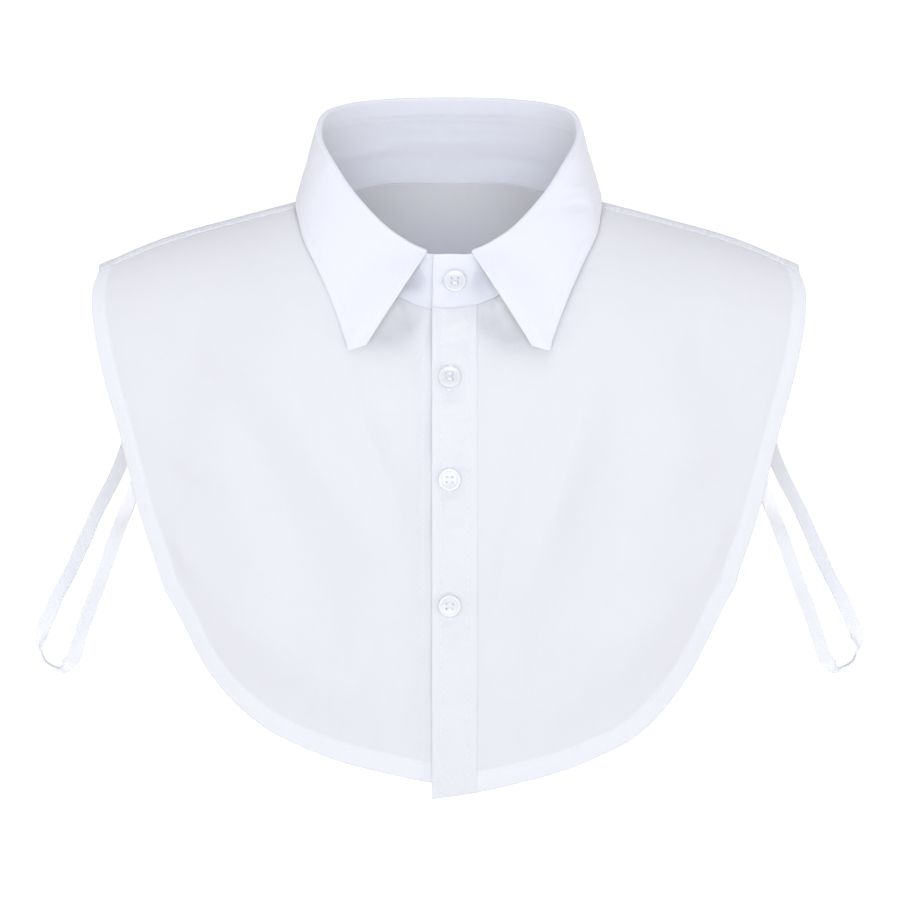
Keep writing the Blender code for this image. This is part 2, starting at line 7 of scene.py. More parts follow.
import math
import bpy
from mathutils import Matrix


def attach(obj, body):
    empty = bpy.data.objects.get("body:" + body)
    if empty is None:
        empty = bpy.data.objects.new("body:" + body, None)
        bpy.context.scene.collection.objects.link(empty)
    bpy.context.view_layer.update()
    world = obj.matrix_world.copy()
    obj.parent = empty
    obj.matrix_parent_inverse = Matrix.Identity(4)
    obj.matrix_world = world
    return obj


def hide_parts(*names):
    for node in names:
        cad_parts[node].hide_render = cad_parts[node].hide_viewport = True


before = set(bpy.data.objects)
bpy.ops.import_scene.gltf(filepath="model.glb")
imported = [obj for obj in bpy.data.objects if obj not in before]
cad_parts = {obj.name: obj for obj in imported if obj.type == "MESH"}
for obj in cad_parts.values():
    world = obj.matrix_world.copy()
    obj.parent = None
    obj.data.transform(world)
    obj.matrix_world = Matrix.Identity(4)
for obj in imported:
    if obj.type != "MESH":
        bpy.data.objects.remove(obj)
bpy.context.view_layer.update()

from types import SimpleNamespace

import bmesh
import bpy
import numpy as np
from bpy.props import FloatProperty, FloatVectorProperty, IntProperty, PointerProperty
from mathutils import Matrix, Vector

bl_info = {
    "name": "Detachable shirt collar",
    "version": (1, 0, 0),
    "blender": (4, 5, 0),
    "location": "View3D > Sidebar > Collar",
    "description": "Makes a sewn white shirt collar with a half-shirt front and back",
    "category": "Add Mesh",
}

MM = 0.001

# The figure that the cloth hangs on
CHEST_Z = -190.0
BLADE_Z = -150.0
HANG = 200.0
SHOULDER_SQUARENESS = 2.4
WAIST_TUCK = 14.0

# The neck seam, and the top of the stand, in plan
NECK_HALF_WIDTH = 72.0
NECK_FRONT = 68.0
NECK_BACK = 64.0
TOP_HALF_WIDTH = 67.0
TOP_FRONT = 60.0
TOP_BACK = 56.5

# The lap in front: how far each layer stands off the figure
RIGHT_LIFT = 1.6
PLACKET_LIFT = 3.05
STAND_LIFT = 2.0
LAP_LEFT = -8.8
LAP_RIGHT = 14.4
LAP_EASE_START = 20.0
LAP_EASE = 40.0
FRONT_EDGE_INSET = 0.5
LEFT_EDGE_INSET = 1.0
STAND_END_INSET = 2.0

# The collar's shape
STAND_BOW = 0.6
GAP = 0.02
NECK_OVERLAP = 0.2
STAND_SEAT = 0.05
LEAF_BOW = 0.3
LEAF_FRONT_BOW = 2.2
LEAF_POINT_BOW = 6.0
LEAF_POINT_START = 11.0
LEAF_POINT_FALL = 13.0
LEAF_LEVEL_START = 82.0
LEAF_LEVEL_EASE = 30.0
BONES_START = 12.0
BONES_RISE = 25.0
BONES_END = 45.0
BONES_FALL = 35.0
COLLAR_WALL = 1.2
LEAF_END_ANGLE = 9.6

# Seams
SEAM_FORWARD_AT_NECK = 17.0
SEAM_FORWARD_AT_TIP = 12.0
TIP_HALF_WIDTH = 181.5
LEFT_HEM_RISE = 5.6
LEFT_RISE_END = 92.0
LEFT_RISE_EASE = 45.0

# Crowding of columns where a piece turns most
FRONT_CROWDING = 0.6
BACK_CROWDING = 0.75
LEAF_CROWDING = 0.35

# Beside the top of the placket the fronts fall back under the leaf
HOLLOW_PLACE = (26.0, -57.0)
HOLLOW_SIZE = (13.0, 11.0)
HOLLOW_DEPTH = 4.0

# Between the buttons the lap gapes a little: levels of the widest places, and how far
GAPE_LEVELS = (-58.0, -108.0, -158.0, -232.0)
GAPE_WIDTHS = (13.0, 16.0, 17.0, 26.0)
GAPE_DEPTHS = (1.0, 0.9, 0.6, 0.35)

# Elastic bands
BAND_DEPTH_UNDER_CLOTH = 3.0
BAND_BOTTOM = 0.484
BAND_TURN_START = 0.02
BAND_TURN = 0.10
BAND_SEWN_START = 0.72
BAND_SEWN = 0.16


# The studio. Places are in metres, with an area light's power as a share of the key's.
FLOOR_RADIUS = 60.0 / MM
GLOW_FROM_TO = (1.8, 3.2)
CAMERA_PLACE = (0.0005, -2.9927, 0.2093)
CAMERA_TILT = 83.55
CAMERA_ANGLE = 8.91
LIGHTS_AIM = (0.0, 0.0, -0.12)
LIGHTS = (
    ("key", (0.0, -3.5, 0.0), (2.2, 1.0), 1.03, (1.0, 0.965, 0.78)),
    ("upper_key", (0.0, -3.5, 0.6), (2.2, 1.0), 0.95, (0.42, 0.51, 0.93)),
    ("top", (0.0, -0.1, 2.7), (3.0, 1.6), 0.86, (0.97, 0.95, 1.0)),
    ("left", (-3.0, -1.1, -0.5), (1.2, 1.4), 0.36, (1.0, 0.93, 0.86)),
    ("right", (3.0, -1.1, -0.5), (1.2, 1.4), 0.36, (1.0, 0.93, 0.86)),
    ("back", (0.9, 3.4, 0.7), (2.0, 1.4), 0.50, (1.0, 1.0, 1.0)),
)


def table(columns, *rows):
    """Named columns, each an array with a value for each row."""
    return dict(zip(columns.split(), np.array(rows, float).T))


# The shoulder's ridge and how far front and back stand from it, going out from the middle
FIGURE = table(
    "across ridge_y ridge_z front_y back_y",
    (0, 50, 12.0, -104, 97),
    (36, 42, 9.8, -104.5, 98),
    (72, 6, 2.2, -102, 95),
    (110, 3, -7.6, -94, 89),
    (150, 2, -19.0, -78, 76),
    (192, 0, -37.0, -55, 57),
)

# The top edge of the stand and the fold above it, by the angle round the neck from the front
RING = table(
    "angle stand_top rise fold_radius",
    (0, -21.6, 2.2, 1.6),
    (10, -21.5, 2.3, 1.6),
    (24, -14.6, 3.2, 1.6),
    (45, 3.4, 4.0, 1.7),
    (65, 20.5, 5.0, 1.7),
    (84, 30.2, 5.8, 1.7),
    (107, 38.6, 7.6, 1.8),
    (127, 41.0, 8.5, 2.0),
    (153, 42.2, 9.3, 2.0),
    (180, 42.4, 9.4, 2.0),
)

# The leaf's lower edge in plan, and how far it stands off the cloth below it
LEAF_EDGE = table(
    "angle x y hover",
    (9.6, 41.9, -80.2, 0.9),
    (11.6, 50.6, -81.8, 0.3),
    (14, 52.8, -79.6, 0.15),
    (20, 58.0, -72.2, 0.15),
    (30, 66.4, -60.0, 0.15),
    (45, 74.6, -45.0, 0.3),
    (65, 78.4, -26.0, 0.7),
    (90, 78.8, 0.0, 1.4),
    (112, 74.5, 27.5, 2.4),
    (135, 57.5, 51.5, 2.4),
    (158, 31.0, 69.0, 2.4),
    (180, 0.0, 74.5, 2.4),
)
LEAF_BACK_EDGE_Z = 2.6

# The hem from the bottom of the front up to the shoulder's tip
FRONT_HEM = table(
    "out z",
    (14, -292.4),
    (35, -287.7),
    (55, -282.5),
    (76, -274.5),
    (96, -264.0),
    (120, -237.0),
    (141.5, -197.0),
    (156.3, -158.0),
    (167.0, -117.5),
    (176.4, -88.0),
    (183.2, -58.5),
    (184.3, -44.5),
)
FRONT_HEM_BOTTOM = -295.6
BACK_HEM = table(
    "out z",
    (182.6, -47.0),
    (181.2, -62.0),
    (175.0, -92.0),
    (165.5, -122.0),
    (154.0, -160.0),
    (138.5, -196.0),
    (117.0, -230.0),
    (92.0, -252.0),
    (52.0, -270.0),
    (0, -278.0),
)

# Soft folds on each half of the front, from a high point to a low one
FRONT_FOLDS = table(
    "high_out high_z low_out low_z width height",
    (62, -92, 24, -215, 13, 2.2),
    (92, -60, 52, -262, 20, -1.7),
    (112, -150, 92, -255, 22, 2.4),
    (146, -62, 128, -150, 20, -1.8),
    (166, -70, 148, -170, 12, 1.5),
)
# Soft folds on each half of the back
BACK_FOLDS = table(
    "high_out high_z low_out low_z width height",
    (34, -40, 22, -250, 20, 2.0),
    (84, -60, 66, -240, 22, -1.8),
    (126, -70, 112, -210, 20, 2.0),
)

# Buttons: across, level and which piece carries it
BUTTONS = (
    (3.1, -35.4, "stand"),
    (0.3, -83.4, "placket"),
    (0.3, -133.0, "placket"),
    (0.3, -196.0, "placket"),
)

# The elastic band's hanging loop, from the front's edge round its low point to the back's
BAND_LOOP = table(
    "out y z",
    (171.8, -44, -169.5),
    (179.8, -31, -192.0),
    (187.6, -18, -212.0),
    (193.6, -8, -229.0),
    (197.2, -3, -239.0),
    (204.4, 1, -244.2),
    (211.6, 4, -241.0),
    (214.4, 9, -231.5),
    (208.6, 19, -214.0),
    (199.0, 33, -195.0),
    (187.0, 48, -168.0),
    (174.2, 58, -142.0),
)
BAND_FRONT_END = (156.4, -127.0)
BAND_FRONT_EDGE = (160.4, -138.0)
BAND_BACK_END = (164.6, -98.0)
BAND_BACK_EDGE = (167.4, -111.0)


def read(rows, key, column, at, level_start=False, level_end=False):
    """A column of a table, read anywhere between its rows on a smooth curve."""
    places, values = rows[key], rows[column]
    slopes = np.gradient(values, places)
    if level_start:
        slopes[0] = 0.0
    if level_end:
        slopes[-1] = 0.0
    at = np.clip(at, places[0], places[-1])
    i = np.clip(np.searchsorted(places, at, side="right") - 1, 0, len(places) - 2)
    wide = places[i + 1] - places[i]
    t = (at - places[i]) / wide
    near = values[i] * (1 + 2 * t) * (1 - t) ** 2 + values[i + 1] * t * t * (3 - 2 * t)
    return near + wide * (slopes[i] * t * (1 - t) ** 2 - slopes[i + 1] * t * t * (1 - t))


def ease(value, start, length):
    """0 before start, 1 after start + length, and smooth between."""
    t = np.clip((value - start) / length, 0, 1)
    return t * t * (3 - 2 * t)


def along(points, at):
    """Points on a smooth curve through the given ones, by the share of its length."""
    points = np.asarray(points, float)
    steps = np.linalg.norm(np.diff(points, axis=0), axis=1)
    share = np.concatenate([[0], np.cumsum(steps)]) / steps.sum()
    columns = {"share": share}
    for k in range(points.shape[1]):
        columns[k] = points[:, k]
    return np.stack([read(columns, "share", k, at) for k in range(points.shape[1])], axis=-1)


# The figure's surface, by the distance across and the fall: 0 on the shoulder's ridge, 1 at the
# chest, and more below it, and negative the same way down the back.


def section(x):
    across = np.abs(x)
    names = ("ridge_y", "ridge_z", "front_y", "back_y")
    return [read(FIGURE, "across", name, across, level_start=True) for name in names]


def figure(x, fall):
    x, fall = np.broadcast_arrays(np.asarray(x, float), np.asarray(fall, float))
    ridge_y, ridge_z, front_y, back_y = section(x)
    front = fall >= 0
    reach = np.where(front, front_y, back_y) - ridge_y
    widest = np.where(front, CHEST_Z, BLADE_Z)
    turn = np.minimum(np.abs(fall), 1) * math.pi / 2
    hang = np.maximum(np.abs(fall) - 1, 0)
    height = np.clip(np.cos(turn), 0, 1) ** (2 / SHOULDER_SQUARENESS)
    y = ridge_y + reach * np.sin(turn) - np.sign(reach) * WAIST_TUCK * hang**2
    z = widest + (ridge_z - widest) * height - hang * HANG
    return np.stack([x, y, z], axis=-1)


def fall_at_depth(x, y):
    """The fall where the figure is at depth y, on its rounded upper part."""
    ridge_y, _, front_y, back_y = section(x)
    forward = np.clip((ridge_y - y) / (ridge_y - front_y), 0, 1)
    backward = np.clip((y - ridge_y) / (back_y - ridge_y), 0, 1)
    return (np.arcsin(forward) - np.arcsin(backward)) / (math.pi / 2)


def fall_at_level(x, z, side):
    """The fall where the figure is at height z, on the front (side 1) or the back (side -1)."""
    ridge_z = section(x)[1]
    widest = CHEST_Z if side > 0 else BLADE_Z
    share = np.clip((z - widest) / (ridge_z - widest), 0, 1)
    turn = np.arccos(share ** (SHOULDER_SQUARENESS / 2)) / (math.pi / 2)
    return side * (turn + np.maximum(widest - z, 0) / HANG)


def fold_height(rows, x, z):
    """The sum of soft ridges and troughs, each along a line from its high point to its low one."""
    total = np.zeros(np.shape(x))
    for i in range(len(rows["width"])):
        high = np.array([rows["high_out"][i], rows["high_z"][i]])
        run = np.array([rows["low_out"][i], rows["low_z"][i]]) - high
        length = np.linalg.norm(run)
        run /= length
        u, v = np.abs(x) - high[0], z - high[1]
        down = (u * run[0] + v * run[1]) / length
        aside = (u * run[1] - v * run[0]) / rows["width"][i]
        swell = np.sin(math.pi * np.clip(down, 0, 1)) ** 2
        total = total + rows["height"][i] * swell * np.exp(-(aside**2))
    return total


def outward(x, fall):
    """The figure's outward direction."""
    across = figure(x + 0.5, fall) - figure(x - 0.5, fall)
    down = figure(x, fall + 0.004) - figure(x, fall - 0.004)
    out = -np.cross(across, down)
    return out / np.linalg.norm(out, axis=-1, keepdims=True)


def cloth(x, fall, lift=0.0):
    """The outer face of cloth that lies on the figure, moved out by lift, with its folds."""
    x, fall, lift = np.broadcast_arrays(
        np.asarray(x, float), np.asarray(fall, float), np.asarray(lift, float)
    )
    base = figure(x, fall)
    folds = np.where(
        fall >= 0,
        fold_height(FRONT_FOLDS, x, base[..., 2]),
        fold_height(BACK_FOLDS, x, base[..., 2]),
    )
    return base + outward(x, fall) * (lift + folds)[..., None]


# The neck


def neck_plan(angle, spread=0.0):
    """A point of the neck seam in plan, by its angle round from the front, in degrees."""
    turn = np.radians(angle)
    depth = np.where(np.cos(turn) > 0, NECK_FRONT, NECK_BACK) + spread
    return (NECK_HALF_WIDTH + spread) * np.sin(turn), -depth * np.cos(turn)


def neck_fall(angle, spread=0.0):
    """The neck seam on the figure: across, and fall."""
    x, y = neck_plan(angle, spread)
    return np.stack([x, fall_at_depth(x, y)], axis=-1)


def ring_angle(angle):
    """The angle from the front, from 0 to 180, of an angle that goes right round."""
    return np.abs((np.asarray(angle, float) + 180.0) % 360.0 - 180.0)


def ring(column, angle):
    return read(RING, "angle", column, ring_angle(angle), level_start=True, level_end=True)


def stand_lift(angle):
    """How far the stand's lapping end stands off the end below it."""
    return STAND_LIFT * (1 - ease(np.asarray(angle, float), LAP_EASE_START, LAP_EASE))


def stand_top(angle):
    """The outer face of the stand at its top edge."""
    turn = np.radians(angle)
    depth = np.where(np.cos(turn) > 0, TOP_FRONT, TOP_BACK)
    x, y = TOP_HALF_WIDTH * np.sin(turn), -depth * np.cos(turn)
    away = plan_outward(angle)
    top = np.stack([x, y, ring("stand_top", angle)], axis=-1)
    return top + away * stand_lift(angle)[..., None]


def plan_outward(angle):
    """The level direction that points out of the collar at an angle round it."""
    turn = np.radians(angle)
    depth = np.where(np.cos(turn) > 0, TOP_FRONT, TOP_BACK)
    x, y = np.sin(turn) / TOP_HALF_WIDTH, -np.cos(turn) / depth
    size = np.hypot(x, y)
    return np.stack([x / size, y / size, np.zeros_like(x)], axis=-1)


def stand_foot(angle):
    """The outer face of the stand at the neck seam."""
    place = neck_fall(angle)
    foot = cloth(place[..., 0], place[..., 1], stand_lift(angle))
    return foot + np.array([0, 0, STAND_SEAT - NECK_OVERLAP / 2])


def stand_face(u, v):
    """The stand's outer face: u runs round from the lapping end, v from the foot to the top."""
    start = math.degrees(math.asin(LAP_LEFT / NECK_HALF_WIDTH))
    end = 360.0 + math.degrees(math.asin((LAP_RIGHT - STAND_END_INSET) / NECK_HALF_WIDTH))
    angle = start + u * (end - start)
    foot, top = stand_foot(angle), stand_top(angle)
    bow = plan_outward(angle) * np.sin(math.pi * v)[..., None] * STAND_BOW
    return foot + (top - foot) * v[..., None] + bow


def leaf_edge(angle):
    """The leaf's lower edge, just off the cloth that it falls on."""
    near = ring_angle(angle)
    side = np.where(np.sin(np.radians(angle)) < 0, -1.0, 1.0)
    x, y = (read(LEAF_EDGE, "angle", name, near, level_end=name == "y") for name in "xy")
    hover = read(LEAF_EDGE, "angle", "hover", near)
    fall = fall_at_depth(x, y)
    edge = figure(x, fall) + outward(x, fall) * (COLLAR_WALL + hover)[..., None]
    # Behind the shoulders the edge leaves the cloth and runs level
    level = np.stack([x, y, np.full_like(x, LEAF_BACK_EDGE_Z)], axis=-1)
    edge += (level - edge) * ease(near, LEAF_LEVEL_START, LEAF_LEVEL_EASE)[..., None]
    edge[..., 0] *= side
    edge[..., 1] -= stand_lift(angle)
    return edge


def leaf_face(u, v, hook_share, arc_share):
    """The leaf's showing face. u runs round the neck, v from the inner seam over the fold."""
    angle = LEAF_END_ANGLE + u * (360 - 2 * LEAF_END_ANGLE)
    top, away = stand_top(angle), plan_outward(angle)
    radius, rise = ring("fold_radius", angle), ring("rise", angle)
    middle = rise - radius
    up = np.array([0.0, 0.0, 1.0])
    # The inner leg, from the stand's top edge to where the fold starts
    leg = np.clip(v / hook_share, 0, 1)
    height = -NECK_OVERLAP + (middle + NECK_OVERLAP) * leg
    # The fold, half a turn over the top
    turn = math.pi * np.clip((v - hook_share) / (arc_share - hook_share), 0, 1)
    out = radius - COLLAR_WALL - radius * np.cos(turn)
    height = height + radius * np.sin(turn)
    hook = top + away * out[..., None] + up * height[..., None]
    # The fall, on a slightly bowed line to the lower edge
    drop = np.clip((v - arc_share) / (1 - arc_share), 0, 1)
    edge = leaf_edge(angle)
    bow = 4 * drop * (1 - drop) * ring_bow(angle)
    return hook + (edge - hook) * drop[..., None] + away * bow[..., None]


def ring_bow(angle):
    """How far the fall of the leaf bows outward, most over the collar bones."""
    near = ring_angle(angle)
    over_bones = ease(near, BONES_START, BONES_RISE) * (1 - ease(near, BONES_END, BONES_FALL))
    at_points = 1 - ease(near, LEAF_POINT_START, LEAF_POINT_FALL)
    return LEAF_BOW + LEAF_FRONT_BOW * over_bones + LEAF_POINT_BOW * at_points


# Panels: four edges in the figure's own coordinates, filled between

# Makes steps of fall about as long as steps across, to measure along a hem
FALL_SCALE = np.array([1.0, 100.0])


def shoulder_seam(t, side):
    """The shoulder seam from the neck (0) to the tip (1). side is 1 in front of it, -1 behind."""
    inner = neck_plan(neck_seam_angle(side), -NECK_OVERLAP / 2)[0]
    x = inner + (TIP_HALF_WIDTH - inner) * t
    forward = SEAM_FORWARD_AT_NECK + (SEAM_FORWARD_AT_TIP - SEAM_FORWARD_AT_NECK) * t
    y = section(x)[0] - forward - side * GAP / 2
    return np.stack([x, fall_at_depth(x, y)], axis=-1)


def filled(near, far, start, end, s, t):
    """A point between four curves: near and far run along s, start and end along t."""
    s1, t1 = s[..., None], t[..., None]
    one, zero = np.ones_like(s), np.zeros_like(s)
    corners = (
        (1 - s1) * ((1 - t1) * near(zero) + t1 * far(zero))
        + s1 * ((1 - t1) * near(one) + t1 * far(one))
    )
    return (1 - t1) * near(s) + t1 * far(s) + (1 - s1) * start(t) + s1 * end(t) - corners


def front_place(side, s, t):
    """Across and fall on a front: s from its front edge to the shoulder, t from neck to hem."""
    edge = LAP_LEFT + FRONT_EDGE_INSET if side > 0 else LEFT_EDGE_INSET - LAP_RIGHT
    out, z = FRONT_HEM["out"], FRONT_HEM["z"]
    out, z = np.concatenate([[edge], out]), np.concatenate([[FRONT_HEM_BOTTOM], z])
    if side < 0:
        z = z + LEFT_HEM_RISE * (1 - ease(out, LEFT_RISE_END, LEFT_RISE_EASE))
    tip = shoulder_seam(np.array([1.0]), 1)
    hem = np.concatenate([np.stack([out, fall_at_level(out, z, 1)], axis=-1), tip])
    edge_angle = math.degrees(math.asin(edge / NECK_HALF_WIDTH))
    seam_neck = neck_seam_angle(1)

    def neck(at):
        return neck_fall(edge_angle + (seam_neck - edge_angle) * at, -NECK_OVERLAP / 2)

    def bottom(at):
        return along(hem * FALL_SCALE, at) / FALL_SCALE

    def front_edge(at):
        top, low = neck(np.zeros_like(at)), bottom(np.zeros_like(at))
        return top + (low - top) * at[..., None]

    def seam(at):
        return shoulder_seam(at, 1)

    return filled(neck, bottom, front_edge, seam, s, t)


def neck_seam_angle(side):
    """The angle at which the neck seam meets the shoulder seam."""
    angles = np.linspace(60, 100, 401)
    x, y = neck_plan(angles, -NECK_OVERLAP / 2)
    behind = y - (section(x)[0] - SEAM_FORWARD_AT_NECK - side * GAP / 2)
    return float(np.interp(0, behind, angles))


def back_place(s, t):
    """Across and fall on the back: s from the right shoulder round to the left, t to the hem."""
    half = np.stack(
        [BACK_HEM["out"], fall_at_level(BACK_HEM["out"], BACK_HEM["z"], -1)], axis=-1
    )
    tip = shoulder_seam(np.array([1.0]), -1)
    half = np.concatenate([tip, half])
    hem = np.concatenate([half, (half * [-1, 1])[-2::-1]])
    start = neck_seam_angle(-1)

    def neck(at):
        return neck_fall(start + (360 - 2 * start) * at, -NECK_OVERLAP / 2)

    def bottom(at):
        return along(hem * FALL_SCALE, at) / FALL_SCALE

    def seam(at):
        return shoulder_seam(at, -1)

    def other_seam(at):
        return shoulder_seam(at, -1) * [-1, 1]

    return filled(neck, bottom, seam, other_seam, s, t)


def right_lift(x):
    return RIGHT_LIFT * (1 - ease(x, LAP_EASE_START, LAP_EASE))


def near_shoulder(s):
    """Sets a front's columns closer together near the shoulder, where it turns most."""
    return s + FRONT_CROWDING * s * (1 - s)


def near_ends(s, crowding):
    """The same for a piece that turns most at both ends."""
    return s - crowding * np.sin(2 * math.pi * s) / (2 * math.pi)


def right_face(s, t):
    place = front_place(1, near_shoulder(s), t)
    return cloth(place[..., 0], place[..., 1], right_lift(place[..., 0]))


def left_face(s, t):
    place = front_place(-1, near_shoulder(s), t)
    return cloth(-place[..., 0], place[..., 1])


def back_face(s, t):
    place = back_place(near_ends(s, BACK_CROWDING), t)
    return cloth(place[..., 0], place[..., 1])


def hem_level(out):
    """The height of the right front's hem near the middle."""
    places = np.concatenate([[LAP_LEFT], FRONT_HEM["out"][:3]])
    levels = np.concatenate([[FRONT_HEM_BOTTOM], FRONT_HEM["z"][:3]])
    return np.interp(out, places, levels)


def placket_face(s, t):
    """The placket's outer face: s across it, t down it."""
    x = LAP_LEFT + (LAP_RIGHT - LAP_LEFT) * s
    angle = np.degrees(np.arcsin(x / NECK_HALF_WIDTH))
    top = neck_fall(angle, GAP / 2)[..., 1]
    low = fall_at_level(x, hem_level(x), 1)
    return cloth(x, top + (low - top) * t, PLACKET_LIFT)


# Elastic bands


def band_path(side, count):
    """The band's middle line, and which way its width lies at each point."""
    ends = []
    for end, edge, face in (
        (BAND_FRONT_END, BAND_FRONT_EDGE, 1),
        (BAND_BACK_END, BAND_BACK_EDGE, -1),
    ):
        out = np.array([end[0], edge[0]])
        fall = fall_at_level(out, np.array([end[1], edge[1]]), face)
        ends.append(cloth(out, fall, -BAND_DEPTH_UNDER_CLOTH))
    loop = np.stack([BAND_LOOP["out"], BAND_LOOP["y"], BAND_LOOP["z"]], axis=-1)
    points = np.concatenate([ends[0], loop, ends[1][::-1]])
    share = np.linspace(0, 1, count)
    path = along(points, share)
    tangent = np.gradient(path, axis=0)
    tangent /= np.linalg.norm(tangent, axis=1, keepdims=True)
    # Sewn flat inside the panels, face-on down each strand, and edge-on round the bottom
    flat = []
    for i, face in ((0, 1), (-1, -1)):
        fall = fall_at_level(path[i, 0], path[i, 2], face)
        lies = np.cross(tangent[i], outward(path[i, 0], fall))
        flat.append(lies * math.copysign(1, lies[0]))
    across = np.array([1.0, 0, 0])
    deep = np.array([0, 1.0, 0])
    middle = np.abs(share - 0.5) * 2
    sewn = ease(middle, BAND_SEWN_START, BAND_SEWN)[:, None]
    from_bottom = np.abs(share - BAND_BOTTOM) * 2
    edge_on = (1 - ease(from_bottom, BAND_TURN_START, BAND_TURN))[:, None]
    nearest = np.where(share[:, None] < 0.5, flat[0], flat[1])
    width = across * (1 - edge_on) + deep * edge_on
    width = width * (1 - sewn) + nearest * sewn
    width -= tangent * np.sum(width * tangent, axis=1, keepdims=True)
    width /= np.linalg.norm(width, axis=1, keepdims=True)
    path[:, 0] *= side
    width[:, 0] *= side
    return path, width


# Smaller creases on the fronts and the back, signed across from the middle. bend is how far the
# middle of a crease swings aside, and a height below zero is a trough.
FRONT_CREASES = table(
    "high_x high_z low_x low_z bend width height",
    # Broad folds: from under each collar point, and along the bottom hem
    (-96, -40, -44, -172, 6, 16, 3.8),
    (-114, -84, -66, -204, -6, 17, -3.1),
    (-128, -200, -22, -263, -9, 14, 3.0),
    (-158, -112, -98, -146, -4, 15, 1.9),
    (-166, -58, -104, -92, 3, 16, -1.7),
    (76, -58, 34, -204, -5, 12, 3.3),
    (100, -66, 68, -196, 6, 16, -3.0),
    (130, -194, 26, -268, 9, 14, 2.9),
    (158, -108, 98, -144, 4, 15, 1.9),
    (166, -54, 104, -88, -3, 16, -1.6),
    # Narrow pulls between the collar points and the buttons
    (-52, -74, -12, -170, 4, 5.0, 1.3),
    (-40, -84, -16, -152, 3, 4.0, -0.9),
    (-30, -112, -13, -200, 3, 5.0, 0.9),
    (52, -76, 20, -192, -4, 5.0, 1.3),
    (42, -88, 22, -150, -3, 4.0, -0.8),
    (30, -150, 19, -214, -3, 5.0, 0.8),
    # Puckers under the stand, beside the placket
    (-30, -40, -13, -60, 2, 2.6, -1.3),
    (-22, -42, -12, -70, 2, 2.4, 0.8),
    (27, -40, 15, -62, -2, 2.6, -1.3),
    (21, -44, 16, -72, -2, 2.4, 0.8),
    # Small soft dents and swellings elsewhere
    (-72, -160, -54, -246, -6, 9.0, -1.0),
    (-140, -150, -118, -196, 5, 7.0, 1.0),
    (-34, -206, -44, -262, 5, 7.0, 1.0),
    (-130, -46, -138, -84, -3, 7.0, -0.8),
    (-18, -226, -24, -272, 2, 4.5, 0.7),
    (56, -176, 46, -256, 6, 9.0, -1.1),
    (140, -146, 120, -190, -5, 7.0, 1.0),
    (30, -208, 26, -262, -4, 6.0, 0.9),
    (126, -44, 134, -86, 3, 7.0, -0.8),
    (86, -204, 74, -246, 4, 6.0, -0.8),
)
BACK_CREASES = table(
    "high_x high_z low_x low_z bend width height",
    (-30, -10, -22, -150, 7, 8.0, 0.90),
    (6, -30, 2, -190, -4, 7.0, -0.70),
    (38, -12, 30, -140, -6, 9.0, 0.75),
    (-76, -24, -60, -170, 8, 9.0, -0.80),
    (-104, -60, -88, -206, 7, 8.0, 0.80),
    (84, -30, 66, -186, -8, 9.0, -0.75),
    (112, -64, 96, -200, -6, 8.0, 0.75),
    (-140, -60, -132, -150, 5, 7.0, -0.60),
    (146, -66, 136, -160, -5, 7.0, -0.55),
    (-44, -160, -36, -262, 6, 8.0, 0.80),
    (48, -170, 40, -258, -6, 8.5, -0.70),
    (14, -180, 20, -270, 4, 6.0, 0.60),
    (-14, -200, -10, -268, -3, 6.0, -0.50),
    (-96, -200, -78, -248, 4, 6.0, -0.45),
    (88, -196, 76, -250, -4, 6.0, 0.50),
)
# On the placket, from its left edge to its right: small pulls between the buttons
PLACKET_CREASES = table(
    "high_x high_z low_x low_z bend width height",
    (14, -52, -4, -62, 1, 2.4, 0.9),
    (15, -60, -8, -70, 1, 2.2, -0.8),
    (15, -71, 1, -77, 1, 2.0, 0.8),
    (13, -92, -9, -98, -1, 2.4, 0.9),
    (15, -100, 0, -106, 1, 2.6, -0.9),
    (15, -111, -4, -120, 1, 2.2, 1.1),
    (15, -117, -6, -126, 1, 1.9, -1.0),
    (15, -124, 2, -130, 1, 1.8, 0.8),
    (15, -139, -9, -148, 1, 2.6, 1.3),
    (15, -146, -9, -155, 1, 2.6, -1.5),
    (12, -156, -8, -166, 1, 3.0, 0.8),
    (14, -174, -6, -182, -1, 2.6, 0.8),
    (13, -184, -8, -192, 1, 2.2, -0.7),
    (13, -203, -9, -210, 1, 2.6, 0.9),
    (14, -212, -7, -220, 1, 2.6, -0.8),
    (13, -228, -6, -237, 2, 3.2, 0.8),
    (13, -246, -8, -256, 2, 3.4, -0.7),
    (12, -264, -6, -272, 1, 3.0, 0.6),
)
# On the stand and the leaf, round by the angle from the front and up or down by millimetres
STAND_CREASES = table(
    "high_angle high_up low_angle low_up width height",
    (128, 24, 236, 22, 3.0, -0.45),
    (140, 31, 214, 33, 2.4, 0.35),
    (118, 15, 196, 12, 3.2, 0.40),
    (178, 17, 252, 20, 2.6, -0.35),
    (60, 14, 112, 20, 3.0, 0.30),
    (246, 26, 304, 16, 3.0, 0.30),
    (10, 17, 24, 7, 7.5, -1.7),
    (336, 7, 350, 17, 7.5, -1.7),
)
LEAF_CREASES = table(
    "high_angle high_up low_angle low_up width height",
    (44, 24, 60, 10, 2.4, -1.3),
    (50, 27, 64, 16, 2.4, 0.7),
    (30, 44, 42, 20, 5.0, 0.35),
    (302, 30, 322, 14, 5.0, 0.35),
    (285, 36, 296, 22, 3.4, -0.30),
    (128, 20, 205, 16, 5.0, 0.45),
    (158, 30, 232, 34, 4.0, -0.35),
    (14, 50, 24, 34, 4.0, -0.30),
    (338, 34, 347, 52, 4.0, -0.30),
    (88, 30, 104, 12, 4.0, -0.30),
    (262, 14, 276, 30, 4.0, -0.30),
)


# Fine form: creases, hems, stitching and thickness, worked out on a grid of points


def lines_of(rows, high, low):
    names = [high[0], high[1], low[0], low[1]]
    return zip(*(rows[name] for name in names), rows["width"], rows["height"])


